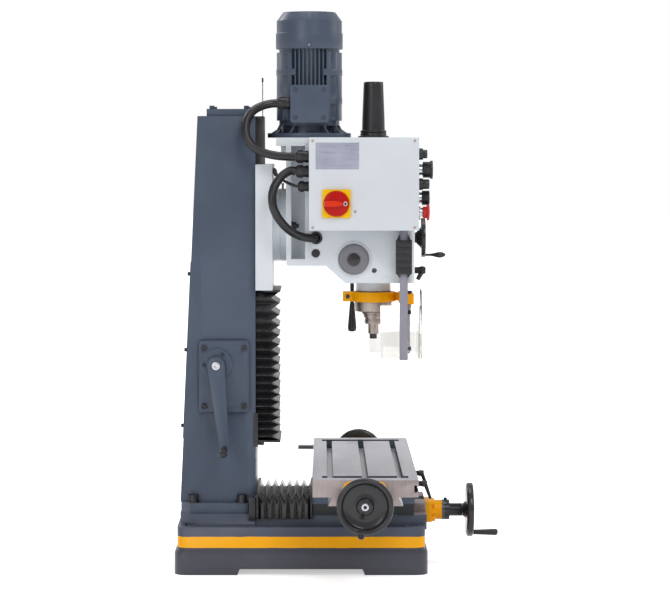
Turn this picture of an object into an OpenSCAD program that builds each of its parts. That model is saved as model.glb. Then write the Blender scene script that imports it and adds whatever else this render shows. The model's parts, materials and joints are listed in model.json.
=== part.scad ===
// Gear-head mill drill with a compound table. Sizes in millimetres, Z up, Y towards the column.
// The origin is on the floor, in the middle of the four base bolts.

/* [Base] */
// Width of the base across the skirt
base_w = 400; // [390:1:440]
// Depth of the base, front to back
base_d = 596; // [590:1:640]
// Height of the lower skirt
skirt_h = 57; // [45:1:60]
// Height of the rim round the trough
rim_z = 111; // [108:1:118]
// Thickness of the rim
rim_t = 12; // [8:1:14]
// Inset of the upper tier from the skirt
tier_in = 6; // [3:1:8]
// Thickness of the walls and ribs under the base
rib_t = 14; // [10:1:20]
// Clearance under the base between its feet
arch_h = 14; // [8:1:20]
// Length of each foot along the sides
foot_len = 148; // [120:1:160]
// Distance between the base bolts along X
base_bolt_x = 330; // [326:1:334]
// Distance between the base bolts along Y
base_bolt_y = 510; // [490:1:520]
// Diameter of the base bolt holes
base_bolt_d = 17; // [13:0.5:19]

/* [Ways] */
// Height of the machined ledges beside the cross way
ledge_z = 134; // [130:1:138]
// Half width of the ledges
ledge_hw = 140; // [136:1:141]
// Height of the cross way's dovetail
way_h = 20.4; // [18:0.1:22]
// Half width of the cross way at its top
way_hw = 98; // [90:1:99]
// Half width of the column way at its face
col_way_hw = 81; // [76:1:83]
// Depth of the column way
col_way_t = 19; // [16:1:20]
// Gap between sliding faces
slide_gap = 0.4; // [0.3:0.05:0.6]

/* [Column] */
// Y of the column's front wall
col_front = 109; // [107:1:112]
// Half width of the column
col_hw = 105; // [103:1:108]
// Depth of the column at its foot
col_foot_d = 179; // [176:1:181]
// Depth of the column at its top
col_top_d = 137; // [125:1:145]
// Height of the column's top
col_top = 1077; // [1075:1:1085]
// Wall thickness of the column
col_wall = 14; // [12:1:16]
// Thickness of the column's foot flange
flange_t = 25; // [20:1:28]
// Half width of the foot flange
flange_hw = 132; // [130:1:134]
// Y of the raising screw and the crank
lift_y = 201; // [198:1:204]
// Height of the crank shaft
crank_z = 488; // [480:1:500]
// Radius of the raising screw
lift_r = 11; // [10:0.5:12]
// Reach of the crank
crank_reach = 196; // [180:1:200]

/* [Head] */
// Height of the head's tilt axis
tilt_z = 816; // [812:1:820]
// Half width of the head casting
head_hw = 115; // [113:1:117]
// Y of the head's front face
head_front = -269; // [-271:1:-266]
// Height of the head's top face
head_top = 1026; // [1024:1:1028]
// Height of the head's lower face
head_low = 681; // [680:1:684]
// Radius of the tilt flanges
tilt_r = 87.5; // [84:0.5:90]
// Y of the spindle axis
spin_y = -173; // [-175:1:-172]
// Radius of the quill
quill_r = 38; // [37.5:0.25:38.5]
// Y of the motor axis
motor_y = -18.5; // [-19:0.5:-18]
// Radius of the motor flange
motor_flange_r = 100.5; // [95:0.5:104]
// Radius over the motor's frame
motor_r = 78.5; // [76:0.5:80]
// Length of the motor's frame
motor_len = 172; // [165:1:176]
// Height of the feed pinion's axis
pinion_z = 738; // [734:1:742]

/* [Control box] */
// Depth of the control box away from the head
box_t = 95; // [90:1:100]
// Length of the control box
box_l = 256.4; // [250:0.2:258]
// Height of the control box
box_h = 217; // [215:1:222]
// Sheet thickness of the box
sheet_t = 2; // [1.5:0.25:3]

/* [Table] */
// Length of the table
table_l = 800; // [760:1:860]
// Width of the table
table_w = 240; // [236:1:244]
// Height of the table's top
table_top = 251.4; // [250:0.2:253]
// Thickness of the table above its dovetail
table_t = 39; // [36:1:41]
// Y of the table's middle
table_y = -147.5; // [-150:0.5:-146]
// Width of the T-slots
slot_w = 14; // [12:1:16]
// Distance between the T-slots
slot_pitch = 80; // [70:1:84]
// Height of the table screw's axis
tscrew_z = 202; // [201:0.5:203]
// Height of the cross screw's axis
cscrew_z = 125; // [122:0.5:127]
// Radius of the table's handwheels
wheel_r = 64; // [60:0.5:66]

/* [Feeds] */
// Lead of the table and cross screws
feed_lead = 4; // [3:0.5:5]
// Height of a bellows fold's ridge above its valley
fold_h = 22; // [16:1:22]

/* [Hidden] */
$fn = 48;

slate = "#586273";
white = "#d5dbdc";
iron = "#b9b9be";
steel = "#8e8f94";
black = "#2c2b2e";
yellow = "#eba800";
red = "#d8201a";

fit = 0.05;    // radial clearance of a shaft in its bore
gap = 0.3;     // clearance between pieces that move past each other
tan30 = tan(30);

base_half_d = base_d / 2;
tier_hw = base_w / 2 - tier_in;
tier_hd = base_half_d - tier_in;
trough_z = rim_z - 12;
way_top = ledge_z + way_h;
channel_hw = 24;              // screw channel in the cross way
channel_floor = cscrew_z - 19;
column_seat = ledge_z + 1;
seat_hw = ledge_hw + 12;
seat_rear = tier_hd - 4;
flange_z = column_seat + flange_t;
col_foot_rear = col_front + col_foot_d;
col_slope = atan((col_foot_d - col_top_d) / (col_top - flange_z));
col_way_y = col_front - col_way_t;
col_way_low = flange_z + 131;
bolt_xs = [-120, 120];
bolt_ys = [141, 257];

saddle_hw = 125;
saddle_z = [664, 962.5];
saddle_front = 68;
saddle_disc_y = 51;
head_disc_y = 36.7;
flange_front = 24;
channel_w = col_way_hw + slide_gap;
neck_front = -9;
neck_hw = 56;

quill_top = 872;
boss_z = head_low - 24;
collar_r = 45;
collar_z = [boss_z - 50, boss_z - 7];
bracket_z = [631, 655];
web_z = [874, 888];
cavity_top = 1003;
rack_m = 2;
pinion_teeth = 13;
pinion_pitch_r = rack_m * pinion_teeth / 2;
pinion_y = spin_y + quill_r - 2 + pinion_pitch_r;
pinion_bore = 15.55;
spline_r = 15;
sleeve_r = 22;

gear_m = 3;
motor_teeth = 18;
counter_teeth = 36;
drive_teeth = 20;
sleeve_teeth = 36;
d_motor = gear_m * (motor_teeth + counter_teeth) / 2;
d_drive = gear_m * (drive_teeth + sleeve_teeth) / 2;
span = motor_y - spin_y;
counter_dy = (d_motor * d_motor - d_drive * d_drive + span * span) / (2 * span);
counter_x = sqrt(d_motor * d_motor - counter_dy * counter_dy);
counter_y = motor_y - counter_dy;

box_x = [-head_hw - box_t, -head_hw];
box_y = [head_front - 6, head_front - 6 + box_l];
box_z = [head_top - box_h, head_top];
cover_t = 3.5;

tbl_low = table_top - table_t;
dove_low = tbl_low - 20;
dove_hw = 73.5;
tscrew_y = table_y + 2.5;
tscrew_r = 9.5;
saddle_low = ledge_z + slide_gap;
csaddle_y = [-268, -25.4];
csaddle_hw = 148;
cbracket_y = 1 - base_half_d;
slot_ys = [table_y - slot_pitch, table_y, table_y + slot_pitch];

guard_axis = [-94, -255];
lever_x = 93;

// Things that run along X or Y are drawn along Z and turned
module along_x() rotate([90, 0, 90]) children();
module along_y() rotate([-90, 0, 0]) children();
module to_front() rotate([90, 0, 0]) children();
module to_left() rotate([0, -90, 0]) children();

module block(x, y, z) translate([x[0], y[0], z[0]]) cube([x[1] - x[0], y[1] - y[0], z[1] - z[0]]);

module ring(ro, ri, h) difference() {
  cylinder(r = ro, h = h);
  translate([0, 0, -1]) cylinder(r = ri, h = h + 2);
}

module rounded(w, d, r) {
  square([w - 2 * r, d], center = true);
  square([w, d - 2 * r], center = true);
  for (x = [-1, 1], y = [-1, 1]) translate([x * (w / 2 - r), y * (d / 2 - r)]) circle(r);
}

// Socket-head screw, head up, with its shank below the seat
module socket_screw(r, shank) {
  difference() {
    cylinder(r = 1.5 * r, h = 2 * r);
    translate([0, 0, r]) cylinder(r = 0.95 * r, h = 2 * r, $fn = 6);
  }
  translate([0, 0, -shank]) cylinder(r = r, h = shank + 0.5);
}

// Spur gear with straight-flanked teeth, the first tooth on +X
module gear(m, z, h, bore) {
  pitch = 360 / z;
  root = m * (z / 2 - 1.1);
  tip = m * (z / 2 + 0.8);
  pts = [for (i = [0 : z - 1]) for (k = [[root, -0.29], [tip, -0.12], [tip, 0.12], [root, 0.29]])
    k[0] * [cos((i + k[1]) * pitch), sin((i + k[1]) * pitch)]];
  difference() {
    linear_extrude(h) polygon(pts);
    if (bore > 0) translate([0, 0, -1]) cylinder(r = bore, h = h + 2);
  }
}

function dovetail(top, low, z0, z1) = [[-low, z0], [low, z0], [top, z1], [-top, z1]];

// Tube swept along hand-placed points; each ring lies square to the route
function unit(v) = v / norm(v);
function at_point(p, i) = unit(p[min(i + 1, len(p) - 1)] - p[max(i - 1, 0)]);
module swept_tube(p, r, sides) {
  n = len(p);
  ring_pts = [for (i = [0 : n - 1])
    let (t = at_point(p, i), u = unit([1, 0, 0] - t[0] * t), v = cross(t, u))
    for (k = [0 : sides - 1]) p[i] + r * (cos(360 * k / sides) * u + sin(360 * k / sides) * v)];
  side_faces = [for (i = [0 : n - 2]) for (k = [0 : sides - 1])
    let (a = i * sides + k, b = i * sides + (k + 1) % sides)
    for (f = [[a, a + sides, b], [b, a + sides, b + sides]]) f];
  ends = [for (k = [0 : sides - 1]) k];
  last = [for (k = [sides - 1 : -1 : 0]) (n - 1) * sides + k];
  polyhedron(ring_pts, concat(side_faces, [ends], [last]));
}

// Points on a smooth curve through the route's own points
function spline_at(p, i, t) =
  let (a = p[max(i - 1, 0)], b = p[i], c = p[i + 1], d = p[min(i + 2, len(p) - 1)])
  0.5 * (2 * b + (c - a) * t + (2 * a - 5 * b + 4 * c - d) * t * t + (3 * b - a - 3 * c + d) * t * t * t);
function smooth(p, steps) =
  concat([for (i = [0 : len(p) - 2]) for (s = [0 : steps - 1]) spline_at(p, i, s / steps)], [p[len(p) - 1]]);

module base_outline(inset) {
  rounded(base_w - 2 * inset, base_d - 2 * inset, 28);
}

module base_bolts_at() for (x = [-1, 1], y = [-1, 1])
  translate([x * base_bolt_x / 2, y * base_bolt_y / 2, 0]) children();

module base_casting() color(slate) difference() {
  union() {
    difference() {
      union() {
        linear_extrude(skirt_h - 6) base_outline(0);
        translate([0, 0, skirt_h - 6.01]) linear_extrude(3.51) base_outline(1.2);
        translate([0, 0, skirt_h - 2.51]) linear_extrude(2.51) base_outline(3.2);
        intersection() {
          linear_extrude(rim_z) base_outline(tier_in);
          translate([0, -base_d, 0]) rotate([-90, 0, 0]) mirror([0, 1, 0]) linear_extrude(2 * base_d)
            polygon([[-tier_hw, skirt_h - 1], [tier_hw, skirt_h - 1], [tier_hw - 4, rim_z],
              [4 - tier_hw, rim_z]]);
        }
      }
      translate([0, 0, trough_z]) linear_extrude(rim_z) base_outline(tier_in + 4 + rim_t);
    }
    // Column seat, flared out at its foot
    intersection() {
      translate([0, col_front + 1, 0]) rotate([-90, 0, 0]) mirror([0, 1, 0])
        linear_extrude(seat_rear - col_front - 1)
        polygon([[-seat_hw, trough_z - 1], [seat_hw, trough_z - 1], [seat_hw, rim_z + 3],
          [ledge_hw - 4, column_seat], [4 - ledge_hw, column_seat], [-seat_hw, rim_z + 3]]);
      linear_extrude(column_seat) polygon([[-seat_hw, col_front], [seat_hw, col_front],
        [seat_hw, seat_rear - 44], [seat_hw - 44, seat_rear], [44 - seat_hw, seat_rear],
        [-seat_hw, seat_rear - 44]]);
    }
    block([-ledge_hw, ledge_hw], [cbracket_y, col_front + 2], [trough_z - 1, ledge_z]);
    // Cross way
    translate([0, cbracket_y, 0]) rotate([-90, 0, 0]) mirror([0, 1, 0])
      linear_extrude(col_front - 6 - cbracket_y)
      polygon(dovetail(way_hw, way_hw - (way_h + 1) * tan30, ledge_z - 1, way_top));
    base_bolts_at() cylinder(r = 14, h = rim_z);
  }
  // Ribbed underside: the cells stay under a hand's width
  for (i = [-1, 0, 1], j = [-2 : 2]) {
    cw = (base_w - 2 * rib_t) / 3 - rib_t;
    cd = (base_d - 2 * rib_t) / 5 - rib_t;
    if (!(abs(i) == 1 && abs(j) == 2))
      translate([i * (cw + rib_t), j * (cd + rib_t), -1])
        linear_extrude(trough_z - 12 + 1) rounded(cw, cd, 8);
  }
  // Arches between the feet
  translate([-base_w, 0, 0]) along_x() linear_extrude(2 * base_w)
    polygon([[-base_half_d + foot_len, -1], [-base_half_d + foot_len + 6, arch_h],
      [base_half_d - foot_len - 6, arch_h], [base_half_d - foot_len, -1]]);
  translate([0, -base_d, 0]) rotate([-90, 0, 0]) mirror([0, 1, 0]) linear_extrude(2 * base_d)
    polygon([[-86, -1], [-80, arch_h], [80, arch_h], [86, -1]]);
  // Screw channel, open to the front and to the top
  block([-channel_hw, channel_hw], [cbracket_y - 1, col_front - 30], [channel_floor, way_top + 1]);
  base_bolts_at() translate([0, 0, -1]) cylinder(d = base_bolt_d, h = rim_z + 2);
  column_bolts_at() translate([0, 0, column_seat - 34]) cylinder(r = 8 + fit, h = 60);
  bracket_screws_at() along_y() cylinder(r = 4 + fit, h = 16);
}

module column_bolts_at() for (x = bolt_xs, y = bolt_ys) translate([x, y, 0]) children();

module column_side(back, z0, z1) {
  polygon([[col_front, z0], [col_foot_rear - back + (flange_z - z0) * tan(col_slope), z0],
    [col_front + col_top_d - back + (col_top - z1) * tan(col_slope), z1], [col_front, z1]]);
}

module rear_plane() translate([0, col_foot_rear, flange_z]) rotate([col_slope, 0, 0]) children();

module column_casting() color(slate) difference() {
  union() {
    translate([-col_hw, 0, 0]) along_x() linear_extrude(2 * col_hw) column_side(0, flange_z - 1, col_top);
    // Foot flange with cut rear corners
    translate([0, 0, column_seat]) linear_extrude(flange_t)
      polygon([[-col_hw, col_front], [col_hw, col_front], [col_hw, col_front + 17],
        [flange_hw, col_front + 17], [flange_hw, col_foot_rear - 24], [flange_hw - 24, col_foot_rear - 2],
        [24 - flange_hw, col_foot_rear - 2], [-flange_hw, col_foot_rear - 24],
        [-flange_hw, col_front + 17], [-col_hw, col_front + 17]]);
    // Dovetail way
    translate([0, 0, col_way_low]) linear_extrude(col_top - col_way_low)
      polygon([[-col_way_hw, col_way_y], [col_way_hw, col_way_y],
        [col_way_hw - col_way_t * tan30, col_front + 1], [col_way_t * tan30 - col_way_hw, col_front + 1]]);
  }
  difference() {
    translate([col_wall - col_hw, 0, 0]) along_x() linear_extrude(2 * (col_hw - col_wall))
      polygon([[col_front + col_wall, column_seat - 1],
        [col_foot_rear - col_wall + (flange_z - column_seat + 1) * tan(col_slope), column_seat - 1],
        [col_front + col_top_d - col_wall, col_top + 1], [col_front + col_wall, col_top + 1]]);
    // Shelf that carries the foot of the raising screw
    block([-col_hw, col_hw], [col_front, col_foot_rear + 20], [crank_z - 58, crank_z - 40]);
    top_screws_at() translate([0, 0, -32]) cube([34, 34, 30], center = true);
  }
  translate([0, lift_y, crank_z - 60]) cylinder(r = lift_r + fit, h = 24);
  // Slot for the nut's arm
  block([-29, 29], [col_way_y - 1, col_front + col_wall + 1], [600, 1045]);
  crank_axis() cylinder(r = 26, h = col_wall + 2);
  plate_screws_at() translate([0, 0, -10]) cylinder(r = 4 + fit, h = 12);
  column_bolts_at() translate([0, 0, column_seat - 1]) cylinder(r = 8.75, h = flange_t + 2);
  rear_plane() block([-55, 55], [-col_wall - 6, 1], [168, 568]);
  rear_screws_at() translate([0, 0, -10]) cylinder(r = 3 + fit, h = 12);
  top_screws_at() translate([0, 0, -30]) cylinder(r = 4 + fit, h = 30);
}

// The crank's axis points away from the column's left wall, starting inside it
module crank_axis() translate([col_wall + 1 - col_hw, lift_y, crank_z]) to_left() children();

module plate_screws_at() for (y = [135.6, 231.5], z = [crank_z - 100, crank_z + 40])
  translate([-col_hw, y, z]) to_left() children();

module rear_screws_at() rear_plane() for (x = [-64, 64], z = [177, 359, 541])
  translate([x, 3, z]) along_y() children();

module top_screws_at() for (x = [-76, 76], y = [col_front + 22, col_front + 104])
  translate([x, y, col_top + 17]) children();

module column_covers() color(slate) {
  difference() {
    translate([0, col_front + 62.5, col_top]) linear_extrude(17) rounded(190, 107, 6);
    top_screws_at() translate([0, 0, -20]) cylinder(r = 4.4, h = 22);
    translate([0, lift_y, col_top - 1]) cylinder(r = 8 + fit, h = 12);
  }
  difference() {
    rear_plane() translate([0, 0, 359]) along_y() linear_extrude(3) rounded(148, 424, 8);
    rear_screws_at() translate([0, 0, -4]) cylinder(r = 3.3, h = 5);
  }
}

module bracket_screws_at() for (x = [-29, 29], z = [-18, 18])
  translate([x, cbracket_y, cscrew_z + z]) children();

module frame_screws() color(steel) {
  column_bolts_at() translate([0, 0, flange_z]) {
    translate([0, 0, 3]) socket_screw(8, flange_t + 28);
    ring(15, 8.2, 3);
  }
  plate_screws_at() translate([0, 0, 12]) socket_screw(4, 20);
  cap_screws_at() socket_screw(2.5, 12);
  rear_screws_at() socket_screw(3, 8);
  top_screws_at() socket_screw(4, 28);
  bracket_screws_at() translate([0, -17, 0]) to_front() socket_screw(4, 30);
}

module cap_screws_at() translate([-col_hw - 24, lift_y, crank_z]) to_left()
  for (a = [90, 210, 330]) rotate(a) translate([29.5, 0, 0]) children();

module crank_gear_plate() color(slate) {
  difference() {
    translate([-col_hw, lift_y - 17.5, crank_z - 28.5]) to_left() {
      linear_extrude(9) rounded(171, 121, 9);
      translate([0, 0, 9]) linear_extrude(3) rounded(167, 117, 8);
    }
    plate_screws_at() translate([0, 0, -1]) cylinder(r = 4.4, h = 16);
    crank_axis() cylinder(r = 9 + fit, h = 40);
    cap_screws_at() translate([0, 0, -20]) cylinder(r = 2.5 + fit, h = 20);
  }
  difference() {
    translate([-col_hw - 12, lift_y, crank_z]) to_left() {
      cylinder(r = 38, h = 10);
      translate([0, 0, 10]) cylinder(r1 = 38, r2 = 36, h = 2);
    }
    crank_axis() cylinder(r = 9 + fit, h = 60);
    cap_screws_at() translate([0, 0, -20]) cylinder(r = 2.5 + fit, h = 30);
  }
}

// Mitre gear, its cone's tip one pitch radius above its back
mitre_teeth = 18;
mitre_r = 27;
mitre_w = 10;
module mitre_gear() linear_extrude(mitre_w, scale = (mitre_r - mitre_w) / mitre_r) {
  pitch = 360 / mitre_teeth;
  polygon([for (i = [0 : mitre_teeth - 1]) for (k = [[-3.2, -0.27], [2.2, -0.1], [2.2, 0.1], [-3.2, 0.27]])
    (mitre_r + k[0]) * [cos((i + k[1]) * pitch), sin((i + k[1]) * pitch)]]);
}

module lift_screw() color(steel) translate([0, lift_y, 0]) {
  translate([0, 0, crank_z - 58]) cylinder(r = lift_r, h = col_top - crank_z + 56);
  translate([0, 0, col_top - 10]) cylinder(r = 8, h = 20);
  translate([0, 0, crank_z - mitre_r]) rotate(180) mitre_gear();
  translate([0, 0, crank_z - 39]) cylinder(r = 20, h = 13);
}

module crank_shaft() color(steel) translate([0, lift_y, crank_z]) to_left() {
  translate([0, 0, mitre_r - mitre_w + 1]) cylinder(r = 9, h = 21 - crank_x - mitre_r + mitre_w);
  translate([0, 0, mitre_r]) mirror([0, 0, 1]) rotate(180 + 180 / mitre_teeth) mitre_gear();
  translate([0, 0, mitre_r - 0.5]) cylinder(r = 19, h = 20);
}

// Arm's own plane: local X runs from the hub down the arm, local Z away from the column
crank_x = -col_hw - 26;
crank_lean = -6;
module crank_frame() translate([crank_x, lift_y, crank_z]) rotate([crank_lean, 0, 0]) rotate([0, 90, 0])
  mirror([0, 0, 1]) children();

module crank_arm() {
  color(slate) crank_frame() difference() {
    union() {
      cylinder(r = 20, h = 22);
      intersection() {
        linear_extrude(70) union() {
          circle(20.5);
          polygon([[0, -20.5], [crank_reach, -11], [crank_reach, 11], [0, 20.5]]);
          translate([crank_reach, 0]) circle(11);
        }
        translate([0, 25, 0]) rotate([90, 0, 0]) linear_extrude(50)
          polygon([[-22, 8], [-22, 22], [40, 22], [70, 36], [crank_reach + 15, 36], [crank_reach + 15, 24],
            [74, 24], [44, 8]]);
      }
    }
    translate([0, 0, -1]) cylinder(r = 9 + fit, h = 30);
    translate([crank_reach, 0, 20]) cylinder(r = 6, h = 30);
  }
  color(steel) crank_frame() {
    translate([0, 0, 22]) difference() {
      cylinder(r = 9.6, h = 6);
      translate([0, 0, 2]) cylinder(r = 4, h = 6, $fn = 6);
    }
    translate([crank_reach, 0, 24]) cylinder(r = 6, h = 108);
  }
}

module handle_grip(len, r0, r1, pin) rotate_extrude()
  polygon([[pin + fit, 0], [r0 - 1, 0], [r0, 2], [r1, len - 5], [r1 - 1.5, len - 1.5], [r1 - 4, len],
    [pin + fit, len]]);

module crank_grip() color(black) crank_frame() translate([crank_reach, 0, 36.5]) handle_grip(95, 7.5, 10, 6);

module folds(n, wide, narrow, high, low, len) {
  pts = [for (i = [0 : 2 * n])
    let (s = i % 2, w = s ? wide : narrow, h = s ? high : low, z = len * i / (2 * n))
    for (q = [[-w, 0], [w, 0], [w, h], [-w, h]]) [q[0], q[1], z]];
  m = 2 * n;
  sides = [for (i = [0 : m - 1]) for (k = [0 : 3]) let (a = 4 * i + k, b = 4 * i + (k + 1) % 4)
    for (f = [[a, a + 4, b], [b, a + 4, b + 4]]) f];
  polyhedron(pts, concat(sides, [[0, 1, 2, 3]], [[4 * m + 3, 4 * m + 2, 4 * m + 1, 4 * m]]));
}

col_folds_z = [305, saddle_z[0] - 4];
col_fold_hw = 104;
module column_bellows() color(black) {
  difference() {
    union() {
      translate([0, col_front - 1, col_folds_z[0]]) mirror([0, 1, 0])
        folds(17, col_fold_hw, col_fold_hw - 16, col_front - 52, col_front - 52 - fold_h,
          col_folds_z[1] - col_folds_z[0]);
      block([-col_fold_hw, col_fold_hw], [50, col_front - 1], [col_folds_z[1] - 0.5, saddle_z[0] - gap]);
      block([-col_fold_hw, col_fold_hw], [50, col_front], [col_folds_z[0] - 4, col_folds_z[0] + 0.5]);
    }
    block([-col_way_hw - gap, col_way_hw + gap], [col_way_y - gap, col_front + 1], [200, saddle_z[0] + 1]);
  }
  for (x = [-1, 1]) {
    translate([x * (col_hw - 0.25), 0, 0]) block([-1.75, 1.75], [col_front - 6, col_front - 1], [291, 371]);
    translate([x * (col_hw + 1), 0, 0]) block([-1, 1], [col_front - 6, col_front + 5], [291, 371]);
  }
}

cross_folds_y = [csaddle_y[1] + 3.5, col_front - 3];
cross_hw = 154;
cross_low = 124;
module cross_bellows() color(black) difference() {
  union() {
    translate([0, cross_folds_y[0], cross_low]) rotate([-90, 0, 0]) mirror([0, 1, 0])
      folds(8, cross_hw, ledge_hw + 3.5, 182 - cross_low, 182 - cross_low - fold_h,
        cross_folds_y[1] - cross_folds_y[0]);
    block([-cross_hw, cross_hw], [csaddle_y[1] + gap, cross_folds_y[0] + 0.5], [cross_low, 182]);
    block([-cross_hw, cross_hw], [cross_folds_y[1] - 0.5, col_front], [cross_low, 182]);
    for (x = [-1, 1]) translate([x * (cross_hw - 2), 0, 0])
      block([-2, 2], [col_front - 1, col_front + 15], [cross_low, 176]);
  }
  block([-ledge_hw - 1.5, ledge_hw + 1.5], [csaddle_y[1] - 1, col_front + 1], [cross_low - 1, way_top + 1.5]);
}

module cross_bracket() color(yellow) difference() {
  union() {
    translate([0, cbracket_y, cscrew_z]) to_front() linear_extrude(17) rounded(76, 52, 6);
    translate([0, cbracket_y - 16, cscrew_z]) to_front() cylinder(r = 23.6, h = 26);
  }
  translate([0, cbracket_y + 1, cscrew_z]) to_front() cylinder(r = 9 + fit, h = 50);
  bracket_screws_at() translate([0, 1, 0]) to_front() cylinder(r = 4.4, h = 20);
}

module z_saddle() color(white) difference() {
  union() {
    block([-saddle_hw, saddle_hw], [saddle_front, col_front - slide_gap], saddle_z);
    translate([0, saddle_front + 1, tilt_z]) to_front()
      cylinder(r = tilt_r, h = saddle_front + 1 - saddle_disc_y);
  }
  // Dovetail channel with its gap all round
  translate([0, 0, saddle_z[0] - 1]) linear_extrude(saddle_z[1] - saddle_z[0] + 2)
    polygon([[-channel_w, col_way_y - slide_gap], [channel_w, col_way_y - slide_gap],
      [channel_w - col_way_t * tan30, col_front + 1], [col_way_t * tan30 - channel_w, col_front + 1]]);
  // Ring groove for the T-bolts
  translate([0, saddle_disc_y - 1, tilt_z]) along_y() {
    ring(80, 66, 13);
    translate([0, 0, 8]) ring(84, 62, 9);
    cylinder(r = 20.05, h = 12);
  }
}

module lift_nut() color("#b99a4b") difference() {
  union() {
    block([-26, 26], [col_way_y - slide_gap, lift_y], [857, 903]);
    translate([0, lift_y, 857]) cylinder(r = 26, h = 46);
  }
  translate([0, lift_y, 850]) cylinder(r = lift_r + 0.08, h = 60);
}

module tilt_bolts_at() for (a = [90, 180, 270])
  translate([0, 0, tilt_z]) rotate([0, a, 0]) translate([0, 0, 73]) children();

module tilt_bolts() color(steel) tilt_bolts_at() {
  translate([0, saddle_disc_y + 8, 0]) along_y() cylinder(r = 9.5, h = 5, $fn = 6);
  translate([0, flange_front - 18, 0]) along_y() cylinder(r = 5, h = saddle_disc_y - flange_front + 27);
  translate([0, flange_front - 12, 0]) along_y() {
    cylinder(r = 9, h = 10, $fn = 6);
    translate([0, 0, 9.5]) cylinder(r = 11, h = 2.5);
  }
}

module limit_rod() {
  color(steel) translate([saddle_hw - 6, 97, saddle_z[1]]) cylinder(r = 1.5, h = 200);
  color(black) translate([saddle_hw - 6, 97, saddle_z[1] + 200]) cylinder(r = 2.1, h = 11);
}

module head_outline() polygon([[head_front, head_low], [-104, head_low], [-58, head_low + 41],
  [flange_front + 8, head_low + 41], [flange_front + 12, head_low + 45], [flange_front + 12, head_top - 20],
  [flange_front + 35.5, head_top - 20], [flange_front + 35.5, head_top], [head_front, head_top]]);

module head_casting() color(white) difference() {
  union() {
    intersection() {
      translate([-head_hw, 0, 0]) along_x() linear_extrude(2 * head_hw) head_outline();
      translate([0, head_front + 200, head_low - 1]) linear_extrude(400) rounded(2 * head_hw, 400, 12);
    }
    translate([0, head_disc_y - 0.5, tilt_z]) along_y()
      cylinder(r = tilt_r, h = saddle_disc_y - gap - head_disc_y + 0.5);
    translate([0, saddle_disc_y - 2, tilt_z]) along_y() cylinder(r = 20, h = 9);
    translate([0, flange_front + 11, tilt_z]) along_y() cylinder(r = tilt_r, h = 2);
    translate([0, spin_y, boss_z]) cylinder(r = 42, h = 30);
    spring_side() cylinder(r1 = 44.5, r2 = 40, h = 4);
    translate([head_hw - 0.5, pinion_y, pinion_z]) along_x() cylinder(r = 40, h = 6);
    translate([0, 46, head_top - 33]) block([-60, 60], [-10, 3], [-4, 14]);
  }
  // Side windows behind the gear case
  for (x = [-1, 1]) translate([x * (neck_hw + 40), 0, 0])
    block([-40, 40], [neck_front, flange_front], [head_low + 57, head_top - 20]);
  // Gear case
  block([-103, 103], [head_front + 12, -21], [web_z[1], cavity_top]);
  block([-38, 38], [-22, 17], [925, cavity_top]);
  translate([0, spin_y, 600]) cylinder(r = quill_r + fit, h = web_z[0] - 600);
  translate([0, spin_y, 860]) cylinder(r = sleeve_r + fit, h = 200);
  translate([0, motor_y, cavity_top - 1]) cylinder(r = 34, h = 40);
  translate([counter_x, counter_y, web_z[0] + 2]) cylinder(r = 10 + fit, h = cavity_top + 10 - web_z[0] - 2);
  translate([-200, pinion_y, pinion_z]) along_x() cylinder(r = pinion_bore + fit, h = 400);
  spring_side() translate([0, 0, -12]) cylinder(r = 36.4, h = 20);
  translate([fine_x, head_front - 1, fine_z]) along_y() cylinder(r = 8 + fit, h = 61);
  translate([quill_lock_x, head_front - 1, quill_lock_z]) along_y() cylinder(r = 6 + fit, h = 56);
  translate([-head_hw - 1, -34, 752]) along_x() cylinder(r = 8, h = 14);
  translate([-head_hw - 1, grommet_y, grommet_z]) along_x() cylinder(r = 12, h = 14);
  translate([-head_hw - 1, spin_y, 711]) along_x() cylinder(r = 6, h = 30);
  tilt_bolts_at() translate([0, neck_front, 0]) along_y() {
    cylinder(r = 5.5, h = 80);
    cylinder(r = 13, h = flange_front - neck_front);
  }
  block([-13, 13], [neck_front, flange_front], [head_low, tilt_z - 73]);
  motor_bolts_at() translate([0, 0, -16]) cylinder(r = 5 + fit, h = 20);
}

fine_x = 55;
fine_z = 783;
quill_lock_x = 40;
quill_lock_z = 704;
grommet_y = -34.5;
grommet_z = 788.5;

module spring_side() translate([-head_hw, pinion_y, pinion_z]) to_left() children();

module motor_bolts_at() translate([0, motor_y, head_top]) for (a = [45, 135, 225, 315]) rotate(a)
  translate([motor_flange_r - 11.5, 0, 0]) children();

motor_flange_t = 11;
neck_r = 72.5;
motor_foot = head_top + 41;
motor_end = motor_foot + motor_len;
tbox_y = [motor_y - 47, motor_y + 44];
tbox_z = [motor_foot - 6, motor_foot + 83];
tbox_w = tbox_y[1] - tbox_y[0];
tbox_h = tbox_z[1] - tbox_z[0];

module frame_plan() {
  circle(motor_r - 13);
  difference() {
    circle(motor_r);
    square([200, 84], center = true);
    for (x = [-1, 1], y = [-1, 1]) translate([x * 96, y * 59]) square([100, 16], center = true);
  }
  for (s = [0, 180]) rotate(s) {
    for (y = [-33.25 : 9.5 : 33.25]) translate([0, y - 1.5])
      square([sqrt(motor_r * motor_r - y * y) - 3, 3]);
    for (y = [-1, 1]) translate([0, y * 46 - 5.5]) square([58, 11]);
  }
}

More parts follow.
